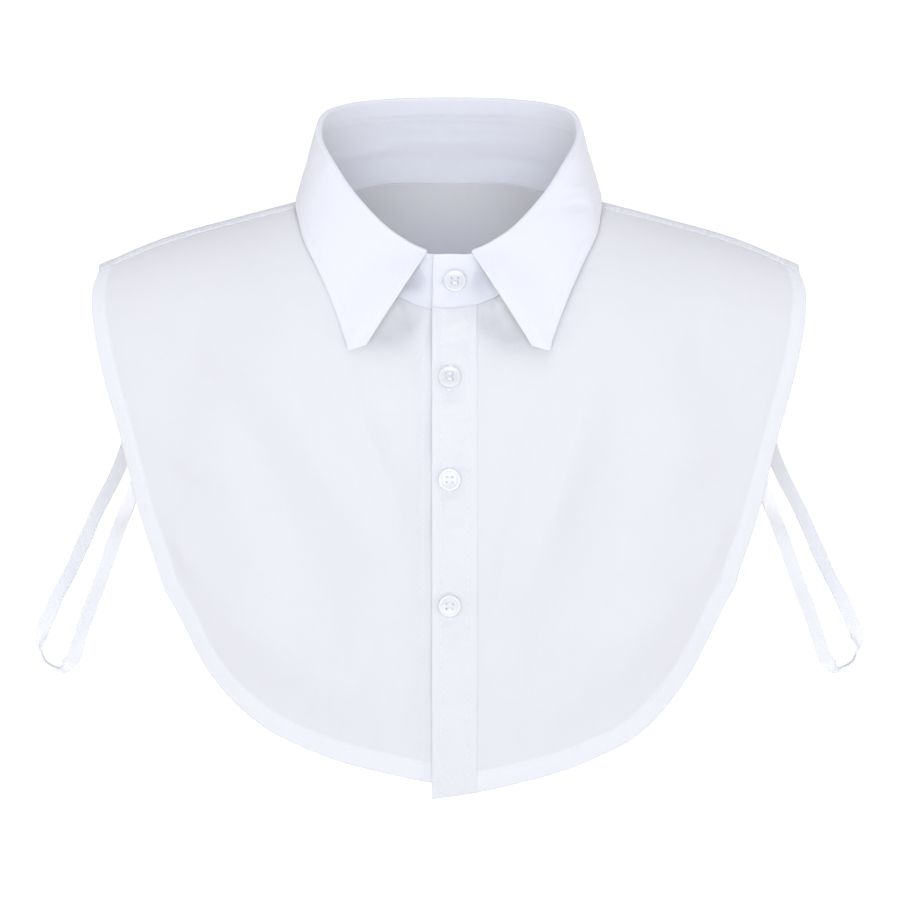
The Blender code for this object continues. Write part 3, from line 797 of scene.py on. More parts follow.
def crease_height(lines, across, level, bends=None):
    """The sum of soft uneven creases. Each runs between two points and swells in its middle."""
    total = np.zeros(np.shape(across))
    for i, (high_x, high_z, low_x, low_z, width, height) in enumerate(lines):
        run = np.array([low_x - high_x, low_z - high_z])
        length = np.linalg.norm(run)
        run = run / length
        u, v = across - high_x, level - high_z
        down = (u * run[0] + v * run[1]) / length
        inside = np.clip(down, 0, 1)
        swing = 0.0 if bends is None else bends[i] * 4 * inside * (1 - inside)
        aside = (u * run[1] - v * run[0] - swing) / width
        # One flank is steeper, and which one changes from crease to crease
        steeper = 1.45 if i % 2 else 0.72
        aside = np.where(aside > 0, aside * steeper, aside / steeper)
        swell = np.sin(math.pi * inside) ** 1.5
        total = total + height * swell * np.exp(-(aside**2))
    return total


def wander(along, pitch, turn):
    """An uneven wave from about -1 to 1, by the distance along a seam."""
    wide = np.sin(2 * math.pi * along / pitch + 1.7 * np.sin(along / (2.3 * pitch) + turn))
    fine = np.sin(2 * math.pi * along / (0.61 * pitch) + 2.1 * np.sin(along / (3.1 * pitch)))
    return 0.62 * wide + 0.38 * fine


def from_line(points, line):
    """How far each point is from a line of points, and how far along the line its foot is."""
    shape = points.shape[:-1]
    points = points.reshape(-1, 3)
    starts, steps = line[:-1], np.diff(line, axis=0)
    lengths = np.linalg.norm(steps, axis=1)
    travelled = np.concatenate([[0], np.cumsum(lengths)[:-1]])
    best = np.full(len(points), np.inf)
    along = np.zeros(len(points))
    for start, step, length, before in zip(starts, steps, lengths, travelled):
        share = np.clip(((points - start) @ step) / length**2, 0, 1)
        gap = np.linalg.norm(points - start - share[:, None] * step, axis=1)
        nearer = gap < best
        best = np.where(nearer, gap, best)
        along = np.where(nearer, before + share * length, along)
    return best.reshape(shape), along.reshape(shape)


def facing(points, towards):
    """The unit normals of a grid of points, on the side that towards points to."""
    normals = np.cross(np.gradient(points, axis=0), np.gradient(points, axis=1))
    normals /= np.maximum(np.linalg.norm(normals, axis=-1, keepdims=True), 1e-9)
    if np.sum(normals * towards) < 0:
        normals = -normals
    return normals


class Grid:
    """A grid of points on a piece's outer face, with a normal, a lift and a look for each."""

    def __init__(self, face, columns, rows, outward_hint=None):
        self.columns, self.rows = np.asarray(columns), np.asarray(rows)
        s, t = np.meshgrid(self.columns, self.rows, indexing="ij")
        self.s, self.t = s, t
        self.base = face(s, t)
        hint = self.base * [1, 1, 0] if outward_hint is None else outward_hint
        self.normals = facing(self.base, hint)
        self.lift = np.zeros(s.shape)
        self.thickness = np.ones(s.shape)
        self.doubled = np.zeros(s.shape)
        self.uv = np.stack([self.base[..., 0], self.base[..., 2]], axis=-1)

    def points(self):
        return self.base + self.normals * self.lift[..., None]

    def edge(self, which):
        picks = {"start": (0, slice(None)), "end": (-1, slice(None)),
                 "top": (slice(None), 0), "bottom": (slice(None), -1)}
        return self.base[picks[which]]

    def sew(self, distance, along, at, depth, pucker, pitch, turn=0.0):
        """Sinks a stitching line at a distance from an edge, with small puckers beside it."""
        aside = distance - at
        self.lift -= depth * np.exp(-((aside / 0.75) ** 2))
        self.lift += pucker * np.exp(-((aside / 3.2) ** 2)) * wander(along, pitch, turn)

    def turn_edge(self, distance, width, rise):
        """Doubles the cloth within a distance of an edge, so that it stands up and looks whiter; the
        step in tone is partly painted shade, the single layer beside it standing for cloth with the
        shaded inside showing through.
        """
        inside = 1 - ease(distance, width - 0.5, 1.0)
        self.lift += rise * inside
        self.doubled = np.maximum(self.doubled, inside)
        self.thickness = np.maximum(self.thickness, 1 + 0.5 * inside)

    def round_edge(self, distance, radius, fall):
        """Lets the outer face fall away at a raw or folded edge."""
        near = np.clip(1 - distance / radius, 0, 1)
        self.lift -= fall * near**2


def contour(grid, field, level, mask=None, by_column=True):
    """Points and normals where a field passes a level, one for each column or row."""
    points, normals = grid.points(), grid.normals
    if not by_column:
        field, points, normals = field.T, points.transpose(1, 0, 2), normals.transpose(1, 0, 2)
        mask = None if mask is None else mask.T
    found, ways = [], []
    for k in range(field.shape[0]):
        line = field[k] - level
        turns = np.nonzero(line[:-1] * line[1:] < 0)[0]
        if mask is not None:
            turns = [j for j in turns if mask[k, j]]
        if len(turns) == 0:
            continue
        j = turns[-1]
        share = line[j] / (line[j] - line[j + 1])
        found.append(points[k, j] * (1 - share) + points[k, j + 1] * share)
        ways.append(normals[k, j] * (1 - share) + normals[k, j + 1] * share)
    return np.array(found), np.array(ways)


def cloth_lengths():
    """Lengths down the figure from the ridge, for flat cloth coordinates."""
    across = np.linspace(0, 200, 41)
    falls = np.linspace(-2.4, 2.4, 481)
    x, fall = np.meshgrid(across, falls, indexing="ij")
    steps = np.linalg.norm(np.diff(figure(x, fall), axis=1), axis=-1)
    total = np.concatenate([np.zeros((len(across), 1)), np.cumsum(steps, axis=1)], axis=1)
    return across, falls, total - total[:, [240]]


def flat_cloth(x, fall):
    """Flat coordinates of a panel's cloth: across it, and down it from the shoulder's ridge."""
    across, falls, total = cloth_lengths()
    i = np.clip(np.abs(x) / (across[1] - across[0]), 0, len(across) - 1.001)
    j = np.clip((fall - falls[0]) / (falls[1] - falls[0]), 0, len(falls) - 1.001)
    i0, j0 = i.astype(int), j.astype(int)
    di, dj = i - i0, j - j0
    length = (
        total[i0, j0] * (1 - di) * (1 - dj) + total[i0 + 1, j0] * di * (1 - dj)
        + total[i0, j0 + 1] * (1 - di) * dj + total[i0 + 1, j0 + 1] * di * dj
    )
    return np.stack([x, -length], axis=-1)


def flat_strip(grid):
    """Flat coordinates of a strip, by its own lengths along and across."""
    along = np.linalg.norm(np.diff(grid.base, axis=0), axis=-1).mean(axis=1)
    across = np.linalg.norm(np.diff(grid.base, axis=1), axis=-1)
    u = np.concatenate([[0], np.cumsum(along)])
    v = np.concatenate([np.zeros((len(u), 1)), np.cumsum(across, axis=1)], axis=1)
    return np.stack([np.broadcast_to(u[:, None], v.shape), v], axis=-1)


# Making the objects


def link(name, mesh):
    item = bpy.data.objects.new(name, mesh)
    bpy.context.scene.collection.objects.link(item)
    return item


def finish_mesh(name, bm, material):
    """Turns a bmesh in millimetres into a smooth named object in metres."""
    bmesh.ops.scale(bm, vec=(MM, MM, MM), verts=bm.verts)
    mesh = bpy.data.meshes.new(name)
    bm.to_mesh(mesh)
    bm.free()
    mesh.shade_smooth()
    mesh.materials.append(material)
    return link(name, mesh)


def cloth_piece(name, grid, wall, material, offset=-1.0, edge_round=0.3):
    """A shell of cloth on a grid's outer face, with its flat coordinates as its UV map."""
    columns, rows = grid.lift.shape
    points = grid.points().reshape(-1, 3)
    bm = bmesh.new()
    bmesh.ops.create_grid(bm, x_segments=columns - 1, y_segments=rows - 1, size=0.5)
    bm.verts.index_update()
    flat = grid.uv.reshape(-1, 2)
    layer = bm.loops.layers.uv.new("cloth")
    order = []
    for vert in bm.verts:
        i = round((vert.co.x + 0.5) * (columns - 1))
        j = round((vert.co.y + 0.5) * (rows - 1))
        order.append(i * rows + j)
    for vert, k in zip(bm.verts, order):
        vert.co = points[k]
    for face in bm.faces:
        for loop in face.loops:
            loop[layer].uv = flat[order[loop.vert.index]] * MM
    bm.normal_update()
    first = next(iter(bm.faces))
    k = order[first.verts[0].index]
    if first.normal.dot(Vector(grid.normals.reshape(-1, 3)[k])) < 0:
        bmesh.ops.reverse_faces(bm, faces=bm.faces)
    item = finish_mesh(name, bm, material)
    doubled = item.data.attributes.new("doubled", "FLOAT", "POINT")
    doubled.data.foreach_set("value", grid.doubled.reshape(-1)[order])
    most = float(grid.thickness.max())
    group = item.vertex_groups.new(name="thickness")
    share = grid.thickness.reshape(-1)[order] / most
    for level in np.unique(np.round(share, 2)):
        picked = np.nonzero(np.round(share, 2) == level)[0].tolist()
        group.add(picked, float(level), "REPLACE")
    solid = item.modifiers.new("wall", "SOLIDIFY")
    solid.thickness = wall * most * MM
    solid.offset = offset
    solid.use_even_offset = False
    solid.vertex_group = "thickness"
    soft = item.modifiers.new("rounded_rim", "BEVEL")
    soft.width = edge_round * MM
    soft.segments = 2
    soft.limit_method = "ANGLE"
    soft.angle_limit = math.radians(55)
    return item


def resampled(line, pitch):
    """Points at an even pitch along a line, with the direction there."""
    steps = np.linalg.norm(np.diff(line, axis=0), axis=1)
    keep = np.concatenate([[True], steps > 1e-6])
    line = line[keep]
    travelled = np.concatenate([[0], np.cumsum(np.linalg.norm(np.diff(line, axis=0), axis=1))])
    count = max(int(travelled[-1] / pitch), 2)
    at = (np.arange(count) + 0.5) / count * travelled[-1]
    places = np.stack([np.interp(at, travelled, line[:, k]) for k in range(3)], axis=-1)
    ways = np.gradient(places, axis=0)
    return places, ways / np.linalg.norm(ways, axis=1, keepdims=True), keep, travelled, at


class Thread:
    """Stitches gathered for one piece: each is a short grain of thread lying on the cloth."""

    def __init__(self):
        self.places, self.ways, self.outs, self.sizes = [], [], [], []

    def run(self, line, normals, length=2.3, gap=0.75, width=0.42, sink=0.02):
        """A line of running stitches on a surface."""
        if len(line) < 2:
            raise RuntimeError("a stitching line has no points")
        places, ways, keep, travelled, at = resampled(np.asarray(line, float), length + gap)
        normals = np.asarray(normals, float)[keep]
        outs = np.stack([np.interp(at, travelled, normals[:, k]) for k in range(3)], axis=-1)
        outs /= np.linalg.norm(outs, axis=1, keepdims=True)
        self.add(places + outs * sink, ways, outs, length, width)

    def add(self, places, ways, outs, length, width):
        for place, way, out in zip(places, ways, outs):
            self.places.append(place)
            self.ways.append(way)
            self.outs.append(out)
            self.sizes.append((length, width))

    def build(self, name, material, sides=6, rings=5):
        """One mesh of all the stitches."""
        grain = bmesh.new()
        bmesh.ops.create_uvsphere(grain, u_segments=sides, v_segments=rings, radius=0.5)
        shape = bpy.data.meshes.new("grain")
        grain.to_mesh(shape)
        grain.free()
        plain = np.array([v.co for v in shape.vertices])
        bm = bmesh.new()
        for place, way, out, (length, width) in zip(
            self.places, self.ways, self.outs, self.sizes
        ):
            side = np.cross(way, out)
            side /= np.linalg.norm(side)
            up = np.cross(side, way)
            # A grain is blunter than an egg, so its ends are drawn out a little
            local = plain * [width, width, length]
            local[:, 2] *= 1 + 0.12 * np.cos(plain[:, 2] * 2 * math.pi)
            placed = place + local @ np.stack([side, up, way])
            shape.vertices.foreach_set("co", placed.ravel())
            bm.from_mesh(shape)
        bpy.data.meshes.remove(shape)
        bmesh.ops.recalc_face_normals(bm, faces=bm.faces)
        return finish_mesh(name, bm, material)


# Materials


class Nodes:
    """A short way to make and join a material's nodes."""

    def __init__(self, name):
        self.material = bpy.data.materials.new(name)
        self.material.use_nodes = True
        self.tree = self.material.node_tree
        self.shader = self.tree.nodes["Principled BSDF"]

    def new(self, kind, **settings):
        node = self.tree.nodes.new(kind)
        for key, value in settings.items():
            setattr(node, key, value)
        return node

    def join(self, output, socket):
        self.tree.links.new(output, socket)

    def maths(self, operation, first, second=None):
        node = self.new("ShaderNodeMath", operation=operation)
        for socket, value in zip(node.inputs, (first, second)):
            if value is None:
                continue
            if hasattr(value, "is_linked"):
                self.join(value, socket)
            else:
                socket.default_value = value
        return node.outputs[0]

    def mixed(self, share, first, second):
        """Mixes two colours by a share."""
        node = self.new("ShaderNodeMix", data_type="RGBA")
        for socket, value in zip((node.inputs[0], node.inputs[6], node.inputs[7]),
                                 (share, first, second)):
            if hasattr(value, "is_linked"):
                self.join(value, socket)
            elif isinstance(value, float):
                socket.default_value = value
            else:
                socket.default_value = (*value, 1)
        return node.outputs[2]

    def noise(self, scale, detail=2.0, vector=None):
        node = self.new("ShaderNodeTexNoise")
        node.inputs["Scale"].default_value = scale
        node.inputs["Detail"].default_value = detail
        if vector is None:
            vector = self.new("ShaderNodeTexCoord").outputs["Object"]
        self.join(vector, node.inputs["Vector"])
        return node.outputs["Fac"]

    def bump(self, height, distance, strength=1.0, under=None):
        node = self.new("ShaderNodeBump")
        node.inputs["Distance"].default_value = distance
        node.inputs["Strength"].default_value = strength
        self.join(height, node.inputs["Height"])
        if under is not None:
            self.join(under, node.inputs["Normal"])
        return node.outputs["Normal"]


def cloth_material(name, single, double, pitch, depth, sheen=0.25):
    """Plain-woven cotton: threads over and under on the flat cloth, with faint slubs."""
    made = Nodes(name)
    flat = made.new("ShaderNodeUVMap", uv_map="cloth").outputs["UV"]
    split = made.new("ShaderNodeSeparateXYZ")
    made.join(flat, split.inputs[0])
    turns = 2 * math.pi / (pitch * MM)
    warp = made.maths("SINE", made.maths("MULTIPLY", split.outputs["X"], turns))
    weft = made.maths("SINE", made.maths("MULTIPLY", split.outputs["Y"], turns))
    weave = made.maths("MULTIPLY", warp, weft)
    # Slubs: noise drawn out along each set of threads
    slubs = []
    for stretch in ((900, 60, 1), (60, 900, 1)):
        mapping = made.new("ShaderNodeMapping", vector_type="POINT")
        mapping.inputs["Scale"].default_value = stretch
        made.join(flat, mapping.inputs["Vector"])
        slubs.append(made.noise(1.0, 2.0, mapping.outputs["Vector"]))
    slub = made.maths("ADD", slubs[0], slubs[1])
    surface = made.maths("ADD", made.maths("MULTIPLY", weave, 0.5), slub)
    cockle = made.noise(95.0, 3.0)
    soft = made.bump(cockle, 0.0007, 0.5)
    made.join(made.bump(surface, depth * MM, 0.8, soft), made.shader.inputs["Normal"])
    # Doubled cloth is whiter; the single layer's darker tone also stands for the shaded inside showing
    # through it, which is partly painted shade. The same mask carries painted light at the back's neck.
    layers = made.new("ShaderNodeAttribute", attribute_name="doubled").outputs["Fac"]
    cloudy = made.noise(14.0, 3.0)
    tone = made.mixed(cloudy, tuple(c * 0.985 for c in single), single)
    double_and_painted_light_tone = made.mixed(cloudy, tuple(c * 0.992 for c in double), double)
    colour = made.mixed(layers, tone, double_and_painted_light_tone)
    thread_shade = made.maths("MULTIPLY", made.maths("ADD", slub, -0.6), 0.05)
    darker = made.mixed(thread_shade, colour, tuple(c * 0.8 for c in single))
    made.join(darker, made.shader.inputs["Base Color"])
    made.shader.inputs["Roughness"].default_value = 0.86
    made.shader.inputs["Sheen Weight"].default_value = sheen
    made.shader.inputs["Sheen Roughness"].default_value = 0.45
    made.shader.inputs["Specular IOR Level"].default_value = 0.25
    return made.material


def thread_material(name, colour):
    """Polyester sewing thread with a fine twist."""
    made = Nodes(name)
    twist = made.noise(4200.0, 1.0)
    made.join(made.bump(twist, 0.00006, 0.6), made.shader.inputs["Normal"])
    shade = made.mixed(made.noise(350.0, 1.0), tuple(c * 0.94 for c in colour), colour)
    made.join(shade, made.shader.inputs["Base Color"])
    made.shader.inputs["Roughness"].default_value = 0.55
    made.shader.inputs["Sheen Weight"].default_value = 0.15
    return made.material


def button_material(name, colour):
    """White pearl plastic: clear lacquer over a faintly cloudy body."""
    made = Nodes(name)
    cloud = made.noise(240.0, 4.0)
    pearl = made.mixed(cloud, tuple(c * 0.95 for c in colour), colour)
    made.join(pearl, made.shader.inputs["Base Color"])
    made.join(made.bump(made.noise(900.0, 2.0), 0.00003, 0.25), made.shader.inputs["Normal"])
    made.shader.inputs["Roughness"].default_value = 0.28
    made.shader.inputs["Subsurface Weight"].default_value = 0.35
    made.shader.inputs["Subsurface Scale"].default_value = 0.004
    made.shader.inputs["Subsurface Radius"].default_value = (1.0, 0.9, 0.85)
    made.shader.inputs["Coat Weight"].default_value = 0.35
    made.shader.inputs["Coat Roughness"].default_value = 0.12
    return made.material


def elastic_material(name, colour, ribs, width):
    """Woven elastic: cords of rubber along it, and a fine cover yarn across them."""
    made = Nodes(name)
    flat = made.new("ShaderNodeUVMap", uv_map="cloth").outputs["UV"]
    split = made.new("ShaderNodeSeparateXYZ")
    made.join(flat, split.inputs[0])
    cord_turns = 2 * math.pi * ribs / (width * MM)
    cord = made.maths("COSINE", made.maths("MULTIPLY", split.outputs["X"], cord_turns))
    cord = made.maths("MULTIPLY", cord, -1.0)
    yarn = made.maths("SINE", made.maths("MULTIPLY", split.outputs["Y"], 2 * math.pi / 0.0009))
    made.join(made.bump(yarn, 0.00001, 0.2), made.shader.inputs["Normal"])
    # Painted shade: the valleys between the cords are a little darker
    painted_valley_shade = made.maths("MULTIPLY", made.maths("SUBTRACT", 1.0, cord), 0.05)
    tone = made.mixed(painted_valley_shade, colour, tuple(c * 0.72 for c in colour))
    made.join(tone, made.shader.inputs["Base Color"])
    made.shader.inputs["Roughness"].default_value = 0.7
    made.shader.inputs["Sheen Weight"].default_value = 0.2
    return made.material


def stage_material(name, colour, glow):
    """Paper that is lit from below away from the collar, so that the ground behind it is white."""
    made = Nodes(name)
    speck = made.mixed(made.noise(3.0, 2.0), tuple(c * 0.995 for c in colour), colour)
    made.join(speck, made.shader.inputs["Base Color"])
    made.shader.inputs["Roughness"].default_value = 0.9
    made.shader.inputs["Emission Color"].default_value = (*colour, 1)
    away = made.new("ShaderNodeVectorMath", operation="LENGTH")
    made.join(made.new("ShaderNodeTexCoord").outputs["Object"], away.inputs[0])
    rise = made.new("ShaderNodeMapRange", interpolation_type="SMOOTHSTEP")
    for socket, value in zip(rise.inputs[1:5], (*GLOW_FROM_TO, 0.0, glow)):
        socket.default_value = value
    made.join(away.outputs["Value"], rise.inputs[0])
    made.join(rise.outputs[0], made.shader.inputs["Emission Strength"])
    return made.material


# Declaring the pieces


def declare(item, slot, *nodes):
    """The piece rides on the one body and may stand for CAD nodes, which it hides. The slot is not used.
    """
    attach(item, "root")
    if nodes:
        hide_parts(*nodes)


def flat_size(uv):
    """The width, length and area in metres of a grid's flat cloth."""
    uv = uv * MM
    width, length = (np.ptp(uv[..., k]) for k in (0, 1))
    a, b = uv[1:, 1:] - uv[:-1, :-1], uv[:-1, 1:] - uv[1:, :-1]
    area = np.abs(a[..., 0] * b[..., 1] - a[..., 1] * b[..., 0]).sum() / 2
    return round(float(width), 3), round(float(length), 3), round(float(area), 4)


def declare_sheet(item, grid):
    width, length, area = flat_size(grid.uv)
    area = min(area, round(width * length, 4))
    print(f"sheet {item.name}: {width} by {length} m, area {area} square metres")


# Fronts and back


def gape(z):
    """How far the lap opens at a level, in millimetres: it is closed at the buttons."""
    return sum(
        depth * np.exp(-(((z - level) / width) ** 2))
        for level, width, depth in zip(GAPE_LEVELS, GAPE_WIDTHS, GAPE_DEPTHS)
    )


def hem_rows(plain, close, share):
    """Shares down a panel, closer together beside the hem."""
    return np.concatenate([np.linspace(0, share, plain, endpoint=False),
                           np.linspace(share, 1, close)])


def hem_width(along, total, cloth_set):
    """The turned hem is wider at the bottom than at the shoulder."""
    share = np.clip(along / total, 0, 1)
    return cloth_set.hem_bottom + (cloth_set.hem_shoulder - cloth_set.hem_bottom) * share


def length_of(line):
    return float(np.linalg.norm(np.diff(line, axis=0), axis=1).sum())


def front_grid(side, cloth_set):
    """One front: side is 1 for the right one, which laps over, and -1 for the left one."""

    def face(s, t):
        place = front_place(side, near_shoulder(s), t)
        x = side * place[..., 0]
        lift = right_lift(x) if side > 0 else 0.0
        return cloth(x, place[..., 1], lift)

    columns = np.linspace(0, 1, cloth_set.front_columns)
    grid = Grid(face, columns, hem_rows(84, 44, 0.85), outward_hint=np.array([0, -1.0, 0]))
    place = front_place(side, near_shoulder(grid.s), grid.t)
    x = side * place[..., 0]
    grid.uv = flat_cloth(x, place[..., 1])
    z = grid.base[..., 2]
    clear_of_lap = ease(side * x, 11.0, 12.0)
    rows = FRONT_CREASES
    lines = list(lines_of(rows, ("high_x", "high_z"), ("low_x", "low_z")))
    creases = crease_height(lines, x, z, rows["bend"])
    grid.lift += cloth_set.front_creases * creases * clear_of_lap
    across, down = (np.abs(x) - HOLLOW_PLACE[0]) / HOLLOW_SIZE[0], (z - HOLLOW_PLACE[1]) / HOLLOW_SIZE[1]
    hollow = np.exp(-(across**2) - down**2) * ease(np.abs(x), 12.5, 7.0)
    grid.lift -= HOLLOW_DEPTH * hollow * ease(grid.t, 0.0, 0.03)
    if side > 0:
        lap_edge = 1 - ease(x, LAP_LEFT, 9.0)
        grid.lift += (gape(z) - 0.3) * lap_edge * ease(grid.t, 0.0, 0.04)
    # The hem
    line = face(np.linspace(0, 1, 220), np.ones(220))
    total = length_of(line)
    distance, along = from_line(grid.base, line)
    width = hem_width(along, total, cloth_set)
    grid.turn_edge(distance, width, cloth_set.hem_rise)
    grid.sew(distance, along, width - cloth_set.stitch_inset, 0.20, 0.13, 7.5, side)
    grid.round_edge(distance, 1.1, 0.35)
    stitch_field = distance - width + cloth_set.stitch_inset
    # The shoulder seam
    seam = face(np.ones(120), np.linspace(0, 1, 120))
    seam_gap, seam_along = from_line(grid.base, seam)
    grid.round_edge(seam_gap, 0.9, 0.22)
    grid.lift += 0.10 * np.exp(-((seam_gap / 2.6) ** 2)) * wander(seam_along, 6.0, 2.0)
    thread = Thread()
    thread.run(*contour(grid, stitch_field, 0.0))
    if side < 0:
        # Under the lap's edge the left front sinks in between the buttons
        sunk = np.exp(-(((x - LAP_LEFT + 0.1) / 1.5) ** 2))
        grid.lift -= (0.15 + 0.9 * gape(z)) * sunk * ease(grid.t, 0.0, 0.04)
        # The left front's own facing, stitched just outside the placket
        edge = -cloth_set.facing_edge
        inside = ease(x, edge - 0.5, 1.0)
        grid.lift += 0.22 * inside
        grid.doubled = np.maximum(grid.doubled, 0.4 * inside)
        grid.lift -= 0.16 * np.exp(-(((x - edge - 1.0) / 0.7) ** 2))
        thread.run(*contour(grid, x - edge - 1.0, 0.0, by_column=False))
    return grid, thread


def back_grid(cloth_set):
    def face(s, t):
        place = back_place(near_ends(s, BACK_CROWDING), t)
        return cloth(place[..., 0], place[..., 1])

    columns = np.linspace(0, 1, cloth_set.back_columns)
    grid = Grid(face, columns, hem_rows(74, 40, 0.85), outward_hint=np.array([0, 1.0, 0]))
    place = back_place(near_ends(grid.s, BACK_CROWDING), grid.t)
    grid.uv = flat_cloth(place[..., 0], place[..., 1])
    rows = BACK_CREASES
    lines = list(lines_of(rows, ("high_x", "high_z"), ("low_x", "low_z")))
    level = np.where(grid.base[..., 2] > -20, -20, grid.base[..., 2])
    creases = crease_height(lines, grid.base[..., 0], level, rows["bend"])
    grid.lift += cloth_set.back_creases * creases * ease(grid.t, 0.03, 0.14)
    # At the neck the cloth is whiter, fading down over the top of the back: painted light on the inside
    # below the neck seam, where the seam's turned edges also show through
    grid.doubled = 0.8 * (1 - ease(grid.t, 0.0, 0.14))
    line = face(np.linspace(0, 1, 360), np.ones(360))
    total = length_of(line)
    distance, along = from_line(grid.base, line)
    from_tip = np.minimum(along, total - along)
    width = hem_width(total / 2 - from_tip, total / 2, cloth_set)
    grid.turn_edge(distance, width, cloth_set.hem_rise)
    grid.sew(distance, along, width - cloth_set.stitch_inset, 0.20, 0.13, 7.5, 4.0)
    grid.round_edge(distance, 1.1, 0.35)
    thread = Thread()
    thread_lines = [(distance - width + cloth_set.stitch_inset, None)]
    # Each shoulder seam is felled towards the back, with two rows of stitching
    for end in (0.0, 1.0):
        seam = face(np.full(120, end), np.linspace(0, 1, 120))
        gap, seam_along = from_line(grid.base, seam)
        inside = 1 - ease(gap, cloth_set.fell_width - 0.5, 1.0)
        grid.lift += 0.28 * inside
        grid.doubled = np.maximum(grid.doubled, inside)
        grid.sew(gap, seam_along, 1.6, 0.16, 0.08, 6.0, end)
        grid.sew(gap, seam_along, cloth_set.fell_width - 1.4, 0.16, 0.10, 6.0, end + 2)
        grid.round_edge(gap, 0.8, 0.20)
        for at in (1.6, cloth_set.fell_width - 1.4):
            thread_lines.append((gap - at, (grid.s < 0.5) if end < 0.5 else (grid.s > 0.5)))
    thread.run(*contour(grid, thread_lines[0][0], 0.0))
    clear_of_hem = distance > width
    for field, half in thread_lines[1:]:
        thread.run(*contour(grid, field, 0.0, half & clear_of_hem, by_column=False))
    return grid, thread


def placket_grid(cloth_set):
    def face(s, t):
        x = LAP_LEFT + (LAP_RIGHT - LAP_LEFT) * s
        angle = np.degrees(np.arcsin(x / NECK_HALF_WIDTH))
        top = neck_fall(angle, GAP / 2)[..., 1]
        low = fall_at_level(x, hem_level(x), 1)
        return cloth(x, top + (low - top) * t, PLACKET_LIFT)

    close = np.linspace(0, 0.06, 6)
    columns = np.concatenate([close, np.linspace(0.06, 0.94, 26)[1:-1], 1 - close[::-1]])
    grid = Grid(face, columns, hem_rows(150, 24, 0.94), outward_hint=np.array([0, -1.0, 0]))
    x, z = grid.base[..., 0], grid.base[..., 2]
    fall = fall_at_level(x, np.minimum(z, -12.0), 1)
    grid.uv = flat_cloth(x, fall)
    rows = PLACKET_CREASES
    lines = list(lines_of(rows, ("high_x", "high_z"), ("low_x", "low_z")))
    grid.lift += cloth_set.placket_creases * crease_height(lines, x, z, rows["bend"])
    grid.doubled[:] = 0.3
    # The outer edge opens between the buttons, and the other one lies on the front
    grid.lift += (gape(z) - 0.3) * (1 - ease(x, LAP_LEFT, 9.0)) * ease(grid.t, 0.0, 0.04)
    grid.lift -= 0.75 * ease(x, LAP_RIGHT - 7.0, 7.0)
    thread = Thread()
    down = grid.base[..., 2]
    for sign, edge in ((1, LAP_LEFT), (-1, LAP_RIGHT)):
        gap = sign * (x - edge)
        grid.sew(gap, down, cloth_set.placket_inset, 0.17, 0.07, 6.5, edge)
        grid.round_edge(gap, 1.0, 0.35)
    bottom = face(np.linspace(0, 1, 30), np.ones(30))
    distance, along = from_line(grid.base, bottom)
    grid.round_edge(distance, 1.0, 0.30)
    hem = cloth_set.hem_bottom - cloth_set.stitch_inset
    grid.sew(distance, along, hem, 0.16, 0.05, 6.0)
    for sign, edge in ((1, LAP_LEFT), (-1, LAP_RIGHT)):
        gap = sign * (x - edge)
        thread.run(*contour(grid, gap - cloth_set.placket_inset, 0.0, by_column=False))
    thread.run(*contour(grid, distance - hem, 0.0))
    return grid, thread


# The stand and the leaf


def round_and_up(rows, angle, up):
    """Creases given round by the angle and up by millimetres."""
    per_degree = 1.2
    scaled = dict(rows)
    for name in ("high_angle", "low_angle"):
        scaled[name] = rows[name] * per_degree
    lines = list(lines_of(scaled, ("high_angle", "high_up"), ("low_angle", "low_up")))
    return crease_height(lines, angle * per_degree, up)


def stand_angle(u):
    start = math.degrees(math.asin(LAP_LEFT / NECK_HALF_WIDTH))
    end = 360.0 + math.degrees(math.asin((LAP_RIGHT - STAND_END_INSET) / NECK_HALF_WIDTH))
    return start + u * (end - start)


def stand_grid(cloth_set):
    close = np.linspace(0, 0.012, 7)
    columns = np.concatenate([close, np.linspace(0.012, 0.988, 330)[1:-1], 1 - close[::-1]])
    edge = np.linspace(0, 0.10, 7)
    rows = np.concatenate([edge, np.linspace(0.10, 0.90, 22)[1:-1], 1 - edge[::-1]])
    grid = Grid(stand_face, columns, rows)
    height = np.linalg.norm(np.diff(grid.base, axis=1), axis=-1)
    up = np.concatenate([np.zeros((len(columns), 1)), np.cumsum(height, axis=1)], axis=1)
    grid.uv = flat_strip(grid)
    grid.doubled[:] = 1.0
    along = grid.uv[..., 0]
    creases = round_and_up(STAND_CREASES, stand_angle(grid.s), up)
    grid.lift += cloth_set.stand_creases * creases
    below_top = up[:, [-1]] - up
    fields = (up - 2.4, below_top - 2.4)
    for field in fields:
        grid.sew(field, along, 0.0, 0.14, 0.06, 6.0)
    for gap in (along, along[[-1]] - along):
        grid.sew(gap, up, 2.4, 0.14, 0.04, 6.0)
        grid.round_edge(gap, 1.0, 0.35)
    grid.round_edge(up, 0.8, 0.2)
    thread = Thread()
    ends = (along > 2.4) & (along[[-1]] - along > 2.4)
    for field in fields:
        line, normals = contour(grid, field, 0.0, ends)
        thread.run(line, normals)
        thread.run(line - normals * cloth_set.collar_wall, -normals)
    line, normals = contour(grid, along - 2.4, 0.0, (up > 2.4) & (below_top > 2.4), False)
    thread.run(line, normals)
    return grid, thread


